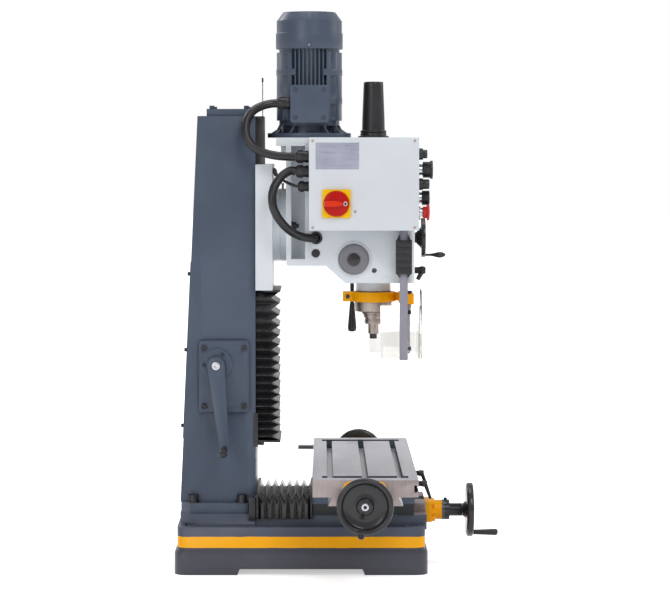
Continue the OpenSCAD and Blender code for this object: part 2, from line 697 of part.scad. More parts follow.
module motor_frame() {
  color(slate) translate([0, motor_y, 0]) difference() {
    union() {
      translate([0, 0, head_top]) rotate_extrude() polygon([[0, 0], [motor_flange_r, 0],
        [motor_flange_r, motor_flange_t], [57, motor_flange_t], [57, 29], [neck_r, 29], [neck_r, 42], [0, 42]]);
      // Ribs round the neck, none on the two sides that carry the fins
      translate([0, 0, head_top]) for (a = [30 : 30 : 150], s = [-1, 1]) rotate(a * s) rotate([90, 0, 0])
        translate([0, 0, -3]) linear_extrude(6)
          polygon([[50, 10], [92, motor_flange_t], [78, 20], [neck_r, 31], [neck_r, 42], [50, 41]]);
      translate([0, 0, motor_foot]) linear_extrude(motor_len) frame_plan();
      translate([0, 0, motor_foot]) cylinder(r = motor_r - 1.6, h = 8);
      for (z = [40, 108]) translate([0, 0, motor_foot + z]) intersection() {
        cylinder(r = motor_r + 1, h = 15);
        union() {
          translate([-100, 34, 0]) cube([200, 50, 15]);
          translate([-100, -84, 0]) cube([200, 50, 15]);
        }
      }
      translate([0, 0, motor_end - 1]) cylinder(r = motor_r - 1, h = 14);
    }
    // Groove under the cowl
    translate([0, 0, motor_end - 9]) ring(motor_r + 9, neck_r, 8);
    translate([0, 0, motor_foot]) cylinder(r = 55, h = motor_len - 6);
    translate([0, 0, head_top - 1]) cylinder(r = 12 + fit, h = 300);
    translate([0, 0, head_top + 24]) cylinder(r = 30, h = 18);
    translate([0, -motor_y, 0]) motor_bolts_at() translate([0, 0, -1]) cylinder(r = 5.6, h = 30);
  }
  color(steel) translate([0, motor_y, motor_foot + 22]) ring(54.9, 39, 108);
  color(slate) {
    translate([0, (tbox_y[0] + tbox_y[1]) / 2, (tbox_z[0] + tbox_z[1]) / 2]) {
      difference() {
        translate([-120, 0, 0]) rotate([90, 0, 90]) linear_extrude(54) rounded(tbox_w - 4, tbox_h - 4, 5);
        translate([0, motor_y - (tbox_y[0] + tbox_y[1]) / 2, -100]) cylinder(r = motor_r - 7, h = 200);
        translate([-116, 0, 0]) rotate([90, 0, 90]) linear_extrude(30) rounded(78, 76, 4);
        translate([-119, 0, 0]) rotate([90, 0, 90]) linear_extrude(36) rounded(78, 76, 4);
      }
      translate([-125, 0, 0]) rotate([90, 0, 90]) linear_extrude(5) rounded(tbox_w, tbox_h, 6);
    }
  }
  color(steel) motor_bolts_at() translate([0, 0, motor_flange_t]) socket_screw(5, 25);
}

cowl_r = motor_r + 2;
cowl_z = motor_end;
module fan_cowl() color(slate) translate([0, motor_y, cowl_z]) difference() {
  rotate_extrude() polygon([[motor_r - 1 + fit, 0], [cowl_r, 0], [cowl_r, 37], [cowl_r - 2, 38.5],
    [cowl_r - 2, 67], [63, 88], [0, 89.5], [0, 87], [61.5, 85.5], [motor_r - 1 + fit, 65]]);
  for (a = [0 : 20 : 340]) rotate(a) translate([24, -2.5, 77]) cube([28, 5, 20]);
  for (a = [0 : 60 : 300]) rotate(a) translate([9, -2, 77]) cube([10, 4, 20]);
}

module motor_rotor() color(steel) translate([0, motor_y, 0]) {
  translate([0, 0, 957]) cylinder(r = 12, h = cowl_z + 67 - 957);
  translate([0, 0, 958]) rotate(gear_angle) gear(gear_m, motor_teeth, 30, 0);
  translate([0, 0, motor_foot + 24]) cylinder(r = 38.5, h = 104);
  translate([0, 0, cowl_z + 25]) {
    cylinder(r = 68, h = 3);
    cylinder(r = 20, h = 30);
    for (a = [0 : 45 : 315]) rotate(a) translate([15, -1.5, 2]) cube([52, 3, 26]);
  }
}

gear_angle = atan2(-counter_dy, counter_x);
drive_angle = atan2(spin_y - counter_y, -counter_x);
module countershaft() color(steel) translate([counter_x, counter_y, 0]) {
  translate([0, 0, web_z[0] + 2.5]) cylinder(r = 10, h = cavity_top + 9 - web_z[0] - 2.5);
  translate([0, 0, 962]) rotate(gear_angle + 180 + 180 / counter_teeth) gear(gear_m, counter_teeth, 24, 0);
  translate([0, 0, 898]) rotate(drive_angle) gear(gear_m, drive_teeth, 64.5, 0);
}

module drive_sleeve() color(steel) translate([0, spin_y, 0]) difference() {
  union() {
    translate([0, 0, web_z[0] + 0.5]) cylinder(r = sleeve_r, h = head_top - web_z[0] - 1);
    translate([0, 0, 900]) rotate(drive_angle + 180 + 180 / sleeve_teeth) gear(gear_m, sleeve_teeth, 22, 0);
  }
  translate([0, 0, 800]) cylinder(r = spline_r + fit, h = 300);
}

motor_route = [[-102, 57, 1107], [-103, 72, 1106], [-110, 92, 1101], [-122, 112, 1090], [-134, 126, 1072],
  [-144, 131, 1048], [-152, 126, 1022], [-158, 108, 1001], [-162, 84, 989], [-164, 56, 983], [-165, 30, 981],
  [-165, 13, 981]];
head_route = [[-165, 13, 946.5], [-168, 25, 948], [-178, 42, 938], [-190, 57, 920], [-198, 65, 902],
  [-202, 67, 884], [-202, 64, 861.5], [-196, 53, 838], [-183, 35, 815.5], [-164, 12, 798.5],
  [-143, -10, 790.5], [-126, -27, 788], [-112, -34.5, 788.5]];
lead_route = [[-160, 8, 911], [-158, 24, 916], [-150, 42, 925], [-140, 54, 934], [-131, 60, 943],
  [-121, 60.5, 947], [-114, 62, 948.5]];

module motor_conduit() color(black) swept_tube(smooth(motor_route, 3), 10, 12);
module sensor_lead() color(black) {
  swept_tube(smooth(lead_route, 3), 3.5, 8);
}

module gland(len, r) {
  cylinder(r = r, h = len * 0.3, $fn = 6);
  translate([0, 0, len * 0.3]) cylinder(r = r * 0.93, h = len * 0.12);
  translate([0, 0, len * 0.42]) difference() {
    cylinder(r = r, h = len * 0.58 - 2);
    for (a = [0 : 60 : 300]) rotate(a) translate([r, 0, 2]) cylinder(r = 2.4, h = len);
  }
  translate([0, 0, len - 2.1]) cylinder(r1 = r - 1, r2 = r - 3, h = 2.1 - 0.1);
}

module head_conduit() color(black) {
  swept_tube(smooth(head_route, 3), 10, 12);
  translate([-102, tbox_y[1], 1107]) along_y() gland(31, 14.2);
  for (z = [946.5, 981]) translate([-165, box_y[1], z]) along_y() gland(31, 14.2);
  translate([-160, box_y[1], 911]) along_y() gland(26, 12);
  difference() {
    translate([-head_hw, grommet_y, grommet_z]) to_left() cylinder(r = 15, h = 5);
    translate([-head_hw - 10, grommet_y, grommet_z]) along_x() cylinder(r = 10.4, h = 20);
  }
  translate([-head_hw, -34, 752]) to_left() {
    cylinder(r = 10, h = 2.5);
    translate([0, 0, -10]) cylinder(r = 7.9, h = 11);
  }
}

function inset(span, by) = [span[0] + by, span[1] - by];

module control_box() color(white) difference() {
  block([box_x[0] + cover_t, box_x[1]], box_y, box_z);
  block([box_x[0] - 1, box_x[1] - sheet_t], inset(box_y, sheet_t), inset(box_z, sheet_t));
  button_axes() translate([0, 0, -5]) cylinder(r = 8, h = 12);
}

module control_box_cover() color(white) translate([box_x[0] + cover_t, 0, 0]) difference() {
  union() {
    translate([0, (box_y[0] + box_y[1]) / 2, (box_z[0] + box_z[1]) / 2]) to_left()
      linear_extrude(cover_t) rounded(box_h, box_l, 3);
    difference() {
      block([-1, 8], inset(box_y, sheet_t + gap), inset(box_z, sheet_t + gap));
      block([-0.5, 9], inset(box_y, 2 * sheet_t + gap), inset(box_z, 2 * sheet_t + gap));
    }
  }
  translate([-10, switch_at[0], switch_at[1]]) along_x() cylinder(r = 8, h = 30);
}

switch_at = [-82.5, 871.8];
button_xs = [-165, -150, -165, -150, -172];
button_zs = [987, 950, 916.5, 884, 850.5];
bezel_rs = [13.4, 13.6, 13.6, 13.6, 10.5];
bezel_cups = [10.4, 6, 11.9, 6, 6];
module button_at(i) translate([button_xs[i], box_y[0], button_zs[i]]) to_front() children();
module button_axes() for (i = [0 : 4]) button_at(i) children();

module switch_bases() {
  color(yellow) difference() {
    union() {
      translate([box_x[0], switch_at[0], switch_at[1]]) to_left() linear_extrude(6) rounded(66, 66, 2);
      translate([box_x[0] - 1, switch_at[0], switch_at[1]]) along_x() cylinder(r = 7.9, h = 10);
    }
    translate([box_x[0] - 10, switch_at[0], switch_at[1]]) along_x() cylinder(r = 5 + fit, h = 60);
  }
  color("#a9aaad") for (i = [0 : 4]) button_at(i) difference() {
    union() {
      cylinder(r = 14, h = 4.7);
      cylinder(r = bezel_rs[i], h = 10.7);
      translate([0, 0, -8]) cylinder(r = 7.9, h = 9);
    }
    translate([0, 0, -30]) cylinder(r = 5 + fit, h = 50);
    translate([0, 0, 5.2]) cylinder(r = bezel_cups[i], h = 10);
  }
}

module main_switch() color(red) translate([box_x[0] - 6 - gap, switch_at[0], switch_at[1]]) to_left() {
  difference() {
    union() {
      cylinder(r1 = 30.7, r2 = 29.2, h = 9);
      intersection() {
        translate([0, 0, 8]) linear_extrude(12)
          polygon([[-6, 30], [-7, 4], [-5, -8], [-2.5, -14], [2.5, -14], [5, -8], [7, 4], [6, 30]]);
        cylinder(r1 = 32, r2 = 26, h = 23);
      }
      translate([0, -21, 8]) cylinder(r = 5, h = 2.5);
    }
    translate([0, -21, 3]) cylinder(r = 3, h = 20);
  }
  translate([0, 0, -20]) cylinder(r = 5, h = 21);
}

module push_button(i, r, out) button_at(i) {
  translate([0, 0, -12]) cylinder(r = 5, h = 22.5);
  translate([0, 0, 9.5]) {
    cylinder(r = r, h = out - 11);
    translate([0, 0, out - 11.01]) cylinder(r1 = r, r2 = r - 1.5, h = 1.5);
  }
}

module jog_button() color(black) push_button(0, 10, 20.8);
module start_button() color(black) push_button(2, 11.5, 25.8);
module stop_button() color(black) button_at(3) {
  rotate_extrude() polygon([[0, -12], [5, -12], [5, 15], [14, 15], [14, 9], [16.4, 9], [16.4, 21.6],
    [17.3, 21.6], [17.3, 25.6], [16.3, 26.6], [0, 26.6]]);
  for (a = [0 : 20 : 340]) rotate(a) translate([16, -1, 9]) cube([1, 2, 13]);
}
module stop_mushroom() color(red) button_at(4) rotate_extrude()
  polygon([[0, -12], [5, -12], [5, 16], [10.9, 16], [10.9, 10], [13.6, 10], [13.6, 18.5], [19.4, 20.5],
    [19.4, 24], [17, 25.8], [0, 26.8]]);
module speed_knob() color(black) button_at(1) {
  translate([0, 0, -12]) cylinder(r = 5, h = 24);
  translate([0, 0, 11]) cylinder(r = 18.8, h = 18);
  translate([0, 0, 28]) linear_extrude(6) difference() {
    circle(21.5);
    for (a = [0 : 30 : 330]) rotate(a) translate([22.6, 0]) circle(2.5);
  }
}

module drawbar_cover() color(black) translate([0, spin_y, head_top]) {
  rotate_extrude() polygon([[24, 0], [37, 0], [37, 4], [31.5, 5], [31.5, 11], [30, 12], [31.5, 13],
    [31.5, 17],
    [27.5, 18.5], [27, 44], [23.5, 132], [22.5, 134.5], [0, 135.5], [0, 132], [20.5, 131], [24, 44]]);
}

module spring_cap() spring_side() {
  color("#8a888b") difference() {
    rotate_extrude() polygon([[pinion_bore + 3, -11], [36, -11], [36, 11], [33, 14], [17, 14], [15.5, 12.5],
      [0, 12.5], [0, 9], [pinion_bore + 3, 9]]);
  }
  color(black) translate([0, 0, 12.4]) cylinder(r = 14.5, h = 2.4);
}

dro_x = [-140, -134];
dro_y = [-251.7, -232.3];
module dro_bar() {
  color(iron) block(dro_x, dro_y, [500, box_z[0] - 2]);
  color(steel) block([dro_x[1], -head_hw], [dro_y[0] + 2, dro_y[1] - 2], [box_z[0] - 20, box_z[0] - 3]);
}

module quill() color(steel) translate([0, spin_y, 0]) difference() {
  union() {
    translate([0, 0, collar_z[0]]) cylinder(r = quill_r, h = quill_top - collar_z[0]);
    translate([0, 0, collar_z[0] + 1.5]) cylinder(r = collar_r, h = collar_z[1] - collar_z[0] - 1.5);
    translate([0, 0, collar_z[0]]) cylinder(r1 = collar_r - 1.5, r2 = collar_r, h = 1.5);
    translate([0, 0, collar_z[1] - 0.1]) cylinder(r = 41.5, h = boss_z - gap - collar_z[1] + 0.1);
  }
  translate([0, 0, 500]) cylinder(r = 25 + fit, h = 500);
  // Rack on the rear side, flat on top and cut between its teeth
  translate([-20, rack_pitch_y - spin_y + rack_m * 0.8, pinion_z - 16]) cube([40, 10, 166]);
  for (i = [-2 : 23]) translate([0, rack_pitch_y - spin_y, pinion_z + (i + rack_phase) * PI * rack_m])
    rotate([90, 0, 90]) translate([0, 0, -12]) linear_extrude(24)
      polygon([[-2.3, -0.85], [-2.3, 0.85], [2.6, 2.65], [2.6, -2.65]]);
}
rack_pitch_y = pinion_y - pinion_pitch_r;
rack_phase = 0;

module pinion_shaft() color(steel) translate([0, pinion_y, pinion_z]) along_x() {
  translate([0, 0, -11]) rotate(180) gear(rack_m, pinion_teeth, 22, 0);
  translate([0, 0, -20]) cylinder(r = 10, h = 40);
  translate([0, 0, -head_hw - 8]) cylinder(r = pinion_bore, h = head_hw + 8 - 19.5);
  translate([0, 0, 19.5]) cylinder(r = pinion_bore, h = head_hw + 6 - 19.5);
  translate([0, 0, head_hw]) cylinder(r = 12, h = 60);
}

spoke_x = 166;
module capstan_handles() translate([0, pinion_y, pinion_z]) {
  color(white) along_x() translate([0, 0, head_hw + 6 + gap]) difference() {
    union() {
      cylinder(r = 38, h = 22);
      translate([0, 0, 21]) cylinder(r1 = 32, r2 = 28, h = 44);
    }
    translate([0, 0, -1]) cylinder(r = 12.05, h = 54.7);
    for (a = [0, 120, 240]) rotate([0, 0, a + 270]) translate([0, 0, spoke_x - head_hw - 6.3])
      rotate([0, 90, 0]) cylinder(r = 5.05, h = 60);
  }
  for (a = [0, 120, 240]) rotate([a, 0, 0]) translate([spoke_x, 0, 0]) rotate([180, 0, 0]) {
    color(steel) translate([0, 0, 16]) cylinder(r = 5, h = 110);
    color(black) translate([0, 0, 122]) difference() {
      rotate_extrude() polygon([[0, 0], [6, 0], [7.5, 20], [11.3, 62], [10, 68.5], [6, 71], [0, 71]]);
      translate([0, 0, -1]) cylinder(r = 5, h = 5);
    }
  }
}

module fine_feed_wheel() color(black) translate([fine_x, head_front, fine_z]) to_front() {
  translate([0, 0, -58]) cylinder(r = 8, h = 60);
  translate([0, 0, gap]) rotate_extrude() polygon([[0, 0], [13, 0], [13, 9], [27, 21.5], [48.5, 21.5],
    [48.5, 31], [46, 31.3], [44, 27.5], [18, 27.5], [14, 31], [0, 31]]);
  translate([0, -42, 31]) rotate_extrude() polygon([[0, -5], [3, -5], [3, 14], [4.5, 22], [7, 32], [7.4, 37],
    [6.5, 43], [4, 48], [1.5, 50.5], [0, 50.8]]);
}

module quill_lock() color(black) translate([quill_lock_x, head_front, quill_lock_z]) to_front() {
  translate([0, 0, -54]) cylinder(r = 6, h = 60);
  translate([0, 0, gap]) cylinder(r = 8, h = 14);
  translate([0, 0, 14]) cylinder(r1 = 8, r2 = 10.5, h = 10);
  translate([0, 0, 24]) cylinder(r1 = 10.5, r2 = 8, h = 8);
  translate([0, 0, 25]) rotate([118, 0, 0]) cylinder(r1 = 6.5, r2 = 5, h = 26);
}

module guard_bracket() {
  color(yellow) translate([0, 0, bracket_z[0]]) difference() {
    union() {
      translate([0, spin_y, 0]) cylinder(r = 52, h = 24);
      translate([-9, -226, 0]) cube([18, 40, 24]);
      translate([-10, spin_y + 45, 0]) cube([20, 29, 24]);
      translate([guard_axis[0] - 24, guard_axis[1] - 12, 0]) cube([60, 18, 24]);
      translate([-60, guard_axis[1] - 12, 0]) cube([69, 34, 24]);
      translate([dro_x[1] + 8, -250, 0]) cube([22, 16, 24]);
    }
    translate([0, spin_y, -1]) cylinder(r = collar_r + fit, h = 30);
    translate([-1, spin_y + 40, -1]) cube([2, 40, 30]);
    translate([guard_axis[0], guard_axis[1], -1]) cylinder(r = 4 + fit, h = 30);
    translate([-20, spin_y + 62, 12]) along_x() cylinder(r = 3, h = 40);
  }
  color(black) translate([-13, spin_y + 62, bracket_z[0] + 12]) rotate([0, 90, 0]) {
    cylinder(r = 3, h = 26);
    cylinder(r = 5, h = 3);
    translate([0, 0, 23]) cylinder(r = 5, h = 3);
  }
}

module dro_reader() color(black) {
  difference() {
    union() {
      block([dro_x[0] - 9, dro_x[1] + 5], [-261, -223], [704, 784]);
      for (y = [-259, -231.8]) translate([dro_x[0] - 7, y, 784]) rotate([90, 0, 90]) linear_extrude(17)
        polygon(y < -240 ? [[0, -1], [7, -1], [7, 14]] : [[0, -1], [7, -1], [0, 14]]);
      for (y = [-259, -231.8]) translate([dro_x[0] - 7, y, 704]) rotate([90, 0, 90]) linear_extrude(17)
        polygon(y < -240 ? [[0, 1], [7, 1], [7, -9]] : [[0, 1], [7, 1], [0, -9]]);
    }
    block([dro_x[0] - gap, dro_x[1] + gap], [dro_y[0] - gap, dro_y[1] + gap], [600, 900]);
    for (z = [720 : 16 : 768]) block([dro_x[0] - 10, dro_x[0] - 8.2], [-262, -222], [z, z + 1.6]);
  }
  difference() {
    block([dro_x[1] + 5, dro_x[1] + 10], [-250, -234], [bracket_z[1] - 14, 770]);
    block([dro_x[1] + 8, dro_x[1] + 11], [-251, -233], [bracket_z[0] - 1, bracket_z[1]]);
  }
}

module guard_rod() translate([guard_axis[0], guard_axis[1], 0]) {
  color(steel) translate([0, 0, 514]) cylinder(r = 4, h = 146);
  color(black) translate([0, 0, bracket_z[1] + 1]) cylinder(r = 8, h = 6);
  color(steel) translate([0, 0, bracket_z[0] - 12]) cylinder(r = 7, h = 11.5);
  // Clamps that hold the shield's side panel
  color(black) for (z = [520, 606]) {
    translate([0, 0, z]) cylinder(r = 6.5, h = 10);
    block([shield[0][0] + shield_t - guard_axis[0], 0], [-6, 6], [z, z + 10]);
  }
}

shield_t = 3;
shield = [[-104, 70], [-287, -164]];
module guard_shield() color([0.85, 0.88, 0.9, 0.35]) {
  wide = shield[0][1] - shield[0][0];
  difference() {
    translate([0, 0, 500]) linear_extrude(162) difference() {
      translate([shield[0][0] + wide / 2, shield[1][0] + 100]) rounded(wide, 200, 10);
      translate([shield[0][0] + wide / 2, shield[1][0] + 100])
        rounded(wide - 2 * shield_t, 200 - 2 * shield_t, 7);
      translate([-200, -188]) square([200, 200]);
      translate([0, shield[1][1]]) square([200, 200]);
    }
    // The side panel drops below the bracket behind the rod
    block([-120, guard_axis[0] + 14], [-300, -150], [bracket_z[0] - 4, 700]);
    block([20, 120], [-300, -150], [649, 700]);
  }
}

spindle_low = collar_z[0] - 6;
module spindle() color(steel) translate([0, spin_y, 0]) difference() {
  union() {
    translate([0, 0, spindle_low]) cylinder(r = 28, h = 5.5);
    translate([0, 0, spindle_low + 5]) cylinder(r = 25, h = quill_top - 6 - spindle_low - 5);
    translate([0, 0, quill_top - 7]) cylinder(r = spline_r, h = 1120 - quill_top + 7);
  }
  translate([0, 0, spindle_low - 1]) cylinder(r = 6.5, h = 600);
  translate([0, 0, spindle_low - 0.01]) cylinder(r1 = 15.6, r2 = 13, h = 84);
}

module mill_arbor() translate([0, spin_y, 0]) {
  color(steel) {
    translate([0, 0, spindle_low]) cylinder(r1 = 15.5, r2 = 12.95, h = 82);
    translate([0, 0, spindle_low - 8]) cylinder(r = 24, h = 8);
    translate([0, 0, spindle_low - 24]) difference() {
      cylinder(r = 21.5, h = 16.1);
      translate([0, 0, 10.5]) ring(23, 20, 2.5);
    }
    translate([0, 0, spindle_low - 48]) cylinder(r = 13, h = 24.1);
    for (a = [0, 180]) rotate(a) translate([19, -5, spindle_low - 30]) cube([5, 10, 23]);
    translate([0, 0, spindle_low + 80]) cylinder(r = 6, h = 1140 - spindle_low - 80);
    translate([0, 0, 1121]) cylinder(r = 11, h = 14, $fn = 6);
  }
  color(black) translate([0, 0, spindle_low - 60]) difference() {
    cylinder(r = 8.8, h = 12);
    translate([0, 0, -1]) cylinder(r = 4.6, h = 7, $fn = 6);
  }
}

module table() {
  color(iron) difference() {
    union() {
      translate([0, table_y, (tbl_low + table_top) / 2]) cube([table_l, table_w, table_t], center = true);
      translate([-table_l / 2, table_y, 0]) along_x() linear_extrude(table_l)
        polygon([[-dove_hw - 20 * tan30, dove_low], [dove_hw + 20 * tan30, dove_low],
          [dove_hw - tan30, tbl_low + 1], [tan30 - dove_hw, tbl_low + 1]]);
    }
    for (y = slot_ys) {
      block([-362, 362], [y - slot_w / 2, y + slot_w / 2], [table_top - 15, table_top + 1]);
      block([-362, 362], [y - 12, y + 12], [table_top - 23, table_top - 14]);
    }
    for (x = [-1, 1]) translate([x * 345.5, table_y, 0])
      block([-16.5, 16.5], [-98.5, 98.5], [table_top - 23, table_top + 1]);
    // Channel that clears the screw and its nut
    block([-table_l, table_l], [tscrew_y - 22, tscrew_y + 22], [dove_low - 1, tscrew_z + 17]);
    // Groove for the stops along the front
    block([-table_l, table_l], [table_y - table_w / 2 - 1, table_y - table_w / 2 + 6], [226.5, 236.5]);
    block([-table_l, table_l], [table_y - table_w / 2 + 4, table_y - table_w / 2 + 10], [223.5, 239.5]);
  }
  color(steel) {
    translate([370, table_y + table_w / 2, 231]) along_y() ring(6.75, 4.5, 40);
    for (x = [45, 332]) translate([x, table_y - table_w / 2 - 3, 227]) cube([16, 8.8, 9]);
  }
}

module table_ends() for (s = [0, 180])
  translate([0, tscrew_y, tscrew_z]) rotate(s) translate([table_l / 2, 0, 0]) children();

module table_brackets() color(yellow) table_ends() difference() {
  union() {
    along_x() linear_extrude(12) translate([0, 10.5]) rounded(98, 73, 16);
    block([0, 12], [-49, 49], [-26, -9]);
    along_x() cylinder(r = 24, h = 34);
  }
  translate([-1, 0, 0]) along_x() cylinder(r = tscrew_r + fit, h = 60);
}

hub_x = table_l / 2 + 50;
module table_screw() color(steel) {
  translate([-hub_x - 22, tscrew_y, tscrew_z]) along_x() cylinder(r = tscrew_r, h = 2 * hub_x + 44);
  color(black) table_ends() translate([34 + gap, 0, 0]) along_x() difference() {
    cylinder(r = 25, h = 14);
    translate([0, 0, -1]) cylinder(r = tscrew_r - 0.01, h = 20);
  }
}

// Dished handwheel, its face towards +Z
module dished_wheel(r, hub_r, bore, width) difference() {
  rotate_extrude() polygon([[bore, 0], [hub_r, 0], [hub_r + 3, 7], [r - 18, width - 18], [r - 12, width - 18],
    [r - 2, width - 17], [r, width - 14], [r, width - 2], [r - 2, width], [r - 12, width],
    [r - 16, width - 9],
    [hub_r + 5, width - 9], [hub_r, width - 3], [hub_r, width], [bore, width]]);
  rotate(25) translate([hub_r + 9, 0, -1]) cylinder(r = 2.5, h = 60);
}

module table_handwheels() {
  color(black) table_ends() translate([50, 0, 0]) along_x() difference() {
    dished_wheel(wheel_r, 18, tscrew_r, 30);
    wheel_pin(11) translate([0, 0, 10]) cylinder(r = 4, h = 30);
  }
  color(steel) table_ends() translate([50, 0, 0]) along_x() {
    translate([0, 0, 30]) difference() {
      cylinder(r = 8.6, h = 5);
      translate([0, 0, 2]) cylinder(r = 3.5, h = 5, $fn = 6);
    }
    wheel_pin(11) translate([0, 0, 14]) cylinder(r = 4, h = 90);
  }
}
module wheel_pin(a) rotate(a * -1) translate([0, -54, 0]) children();

module table_grip(s) color(black) translate([0, tscrew_y, tscrew_z]) rotate([0, 0, s < 0 ? 180 : 0])
  translate([hub_x, 0, 0]) along_x() wheel_pin(11) translate([0, 0, 30.5]) handle_grip(76, 6.5, 8.4, 4);
module table_grip_left() table_grip(-1);
module table_grip_right() table_grip(1);

module cross_saddle() difference() {
  color(slate) union() {
    block([-csaddle_hw, csaddle_hw], csaddle_y, [160, tbl_low - slide_gap]);
    block([1.5 - csaddle_hw, csaddle_hw - 1.5], [csaddle_y[0] + 1.5, csaddle_y[1]], [saddle_low, 161]);
  }
  // Channel for the cross way
  translate([0, -400, 0]) rotate([-90, 0, 0]) mirror([0, 1, 0]) linear_extrude(600)
    polygon(dovetail(way_hw + slide_gap * (1 + tan30), way_hw + slide_gap - way_h * tan30, ledge_z,
      way_top + slide_gap));
  // Channel for the table
  translate([-300, table_y, 0]) along_x() linear_extrude(600)
    polygon([[-dove_hw - 20.4 * tan30 - slide_gap, dove_low - slide_gap],
      [dove_hw + 20.4 * tan30 + slide_gap, dove_low - slide_gap],
      [dove_hw + slide_gap, tbl_low], [-dove_hw - slide_gap, tbl_low]]);
  difference() {
    block([-300, 300], [tscrew_y - 15, tscrew_y + 15], [tscrew_z - 14, tbl_low]);
    block([-24, 24], [tscrew_y - 16, tscrew_y + 16], [tscrew_z - 15, tbl_low + 1]);
  }
  translate([-25, tscrew_y, tscrew_z]) along_x() cylinder(r = tscrew_r + 0.08, h = 50);
  for (x = [-lever_x, lever_x]) translate([x, csaddle_y[0] - 1, lever_z]) along_y()
    cylinder(r = 5 + fit, h = 24);
}

lever_z = 201;
module cross_nut() color("#b99a4b") difference() {
  block([-20, 20], [-190, -130], [cscrew_z - 16, way_top + slide_gap]);
  translate([0, -200, cscrew_z]) along_y() cylinder(r = 9.08, h = 90);
}

module cross_screw() color(steel) {
  translate([0, wheel_back - 12, cscrew_z]) along_y() cylinder(r = 9, h = 72 - wheel_back);
  color(black) translate([0, cbracket_y - 42 - gap, cscrew_z]) to_front() {
    cylinder(r = 24.3, h = 18);
    translate([0, 0, 17.9]) cylinder(r = 15.5, h = 31);
  }
  translate([0, cbracket_y - 51, cscrew_z + 24]) cylinder(r = 4, h = 5);
}

wheel_back = cbracket_y - 86;
module cross_handwheel() {
  color(black) translate([0, wheel_back - 6, cscrew_z]) to_front() difference() {
    dished_wheel(wheel_r + 1, 15, 9, 26);
    translate([0, -55, 0]) cylinder(r = 4, h = 60);
  }
  color(steel) translate([0, wheel_back - 6, cscrew_z]) to_front() {
    translate([0, -55, 8]) cylinder(r = 4, h = 75);
    translate([0, 0, 26]) cylinder(r = 8, h = 4);
  }
}
module cross_grip() color(black) translate([0, wheel_back - 6, cscrew_z]) to_front()
  translate([0, -55, 26.5]) handle_grip(60, 6, 8, 4);

module lock_lever(x) color(black) translate([x, csaddle_y[0], lever_z]) to_front() {
  translate([0, 0, -22]) cylinder(r = 5, h = 30);
  translate([0, 0, gap]) cylinder(r = 6.5, h = 20);
  translate([0, 0, 20]) cylinder(r1 = 8, r2 = 7, h = 12);
  translate([0, 0, 27]) rotate([70, 0, 0]) cylinder(r1 = 5, r2 = 3.6, h = 38);
}
module table_lock_left() lock_lever(-lever_x);
module table_lock_right() lock_lever(lever_x);

base_casting();
column_casting();
column_covers();
frame_screws();
crank_gear_plate();
column_bellows();
cross_bellows();
cross_bracket();
z_saddle();
lift_nut();
tilt_bolts();
limit_rod();
lift_screw();
crank_shaft();
crank_arm();
crank_grip();
head_casting();
motor_frame();
fan_cowl();
motor_conduit();
head_conduit();
sensor_lead();
control_box();
control_box_cover();
switch_bases();
drawbar_cover();
spring_cap();
dro_bar();
motor_rotor();
countershaft();
drive_sleeve();
quill();
guard_bracket();
dro_reader();
spindle();
mill_arbor();
pinion_shaft();
capstan_handles();
fine_feed_wheel();
guard_shield();
guard_rod();
table();
table_brackets();
table_screw();
table_handwheels();
table_grip_left();
table_grip_right();
union() { cross_saddle(); cross_nut(); }
cross_screw();
cross_handwheel();
cross_grip();
table_lock_left();
table_lock_right();
quill_lock();
main_switch();
stop_mushroom();
jog_button();
start_button();
stop_button();
speed_knob();
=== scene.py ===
import json
import math
import bpy
import bmesh
from mathutils import Matrix, Vector


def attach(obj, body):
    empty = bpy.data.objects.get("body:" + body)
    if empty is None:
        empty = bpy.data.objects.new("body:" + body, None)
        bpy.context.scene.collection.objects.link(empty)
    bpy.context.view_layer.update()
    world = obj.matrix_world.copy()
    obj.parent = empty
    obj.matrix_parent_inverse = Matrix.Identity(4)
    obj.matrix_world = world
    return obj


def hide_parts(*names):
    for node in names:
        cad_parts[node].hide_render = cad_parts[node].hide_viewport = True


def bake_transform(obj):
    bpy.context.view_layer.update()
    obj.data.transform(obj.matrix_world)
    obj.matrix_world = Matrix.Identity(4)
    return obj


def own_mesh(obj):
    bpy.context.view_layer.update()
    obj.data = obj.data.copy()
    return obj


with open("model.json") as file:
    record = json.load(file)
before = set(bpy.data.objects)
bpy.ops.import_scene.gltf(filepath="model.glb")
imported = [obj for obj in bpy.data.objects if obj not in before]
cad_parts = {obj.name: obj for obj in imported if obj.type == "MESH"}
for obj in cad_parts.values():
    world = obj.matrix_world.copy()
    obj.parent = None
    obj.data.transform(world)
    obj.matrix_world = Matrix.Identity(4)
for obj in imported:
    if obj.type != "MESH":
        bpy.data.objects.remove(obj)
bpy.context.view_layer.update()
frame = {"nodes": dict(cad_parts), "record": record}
nodes = frame["nodes"]
mm = 0.001
# lengths in mm
weld = {"drawn": 0.002, "sliver": 0.001, "cad": 0.004, "flatDegrees": 0.8, "sharpDegrees": 32}

# the machine's axes in mm, as the two coordinates that stay the same along each one
pinionAxis = (-124, 738)  # y, z
tableScrewAxis = (-145, 202)  # y, z
crankAxis = (201, 488)  # y, z
switchAxis = (-103.5, 871.8)  # y, z
crossScrewAxis = (0, 125)  # x, z
spindleAxis = (0, -173)  # x, y
motorY = -18.5
print("frame loaded")


def linearColour(hexText):
    parts = [int(hexText[i:i + 2], 16) / 255 for i in (1, 3, 5)]
    return tuple(c / 12.92 if c <= 0.04045 else ((c + 0.055) / 1.055) ** 2.4 for c in parts) + (1.0,)


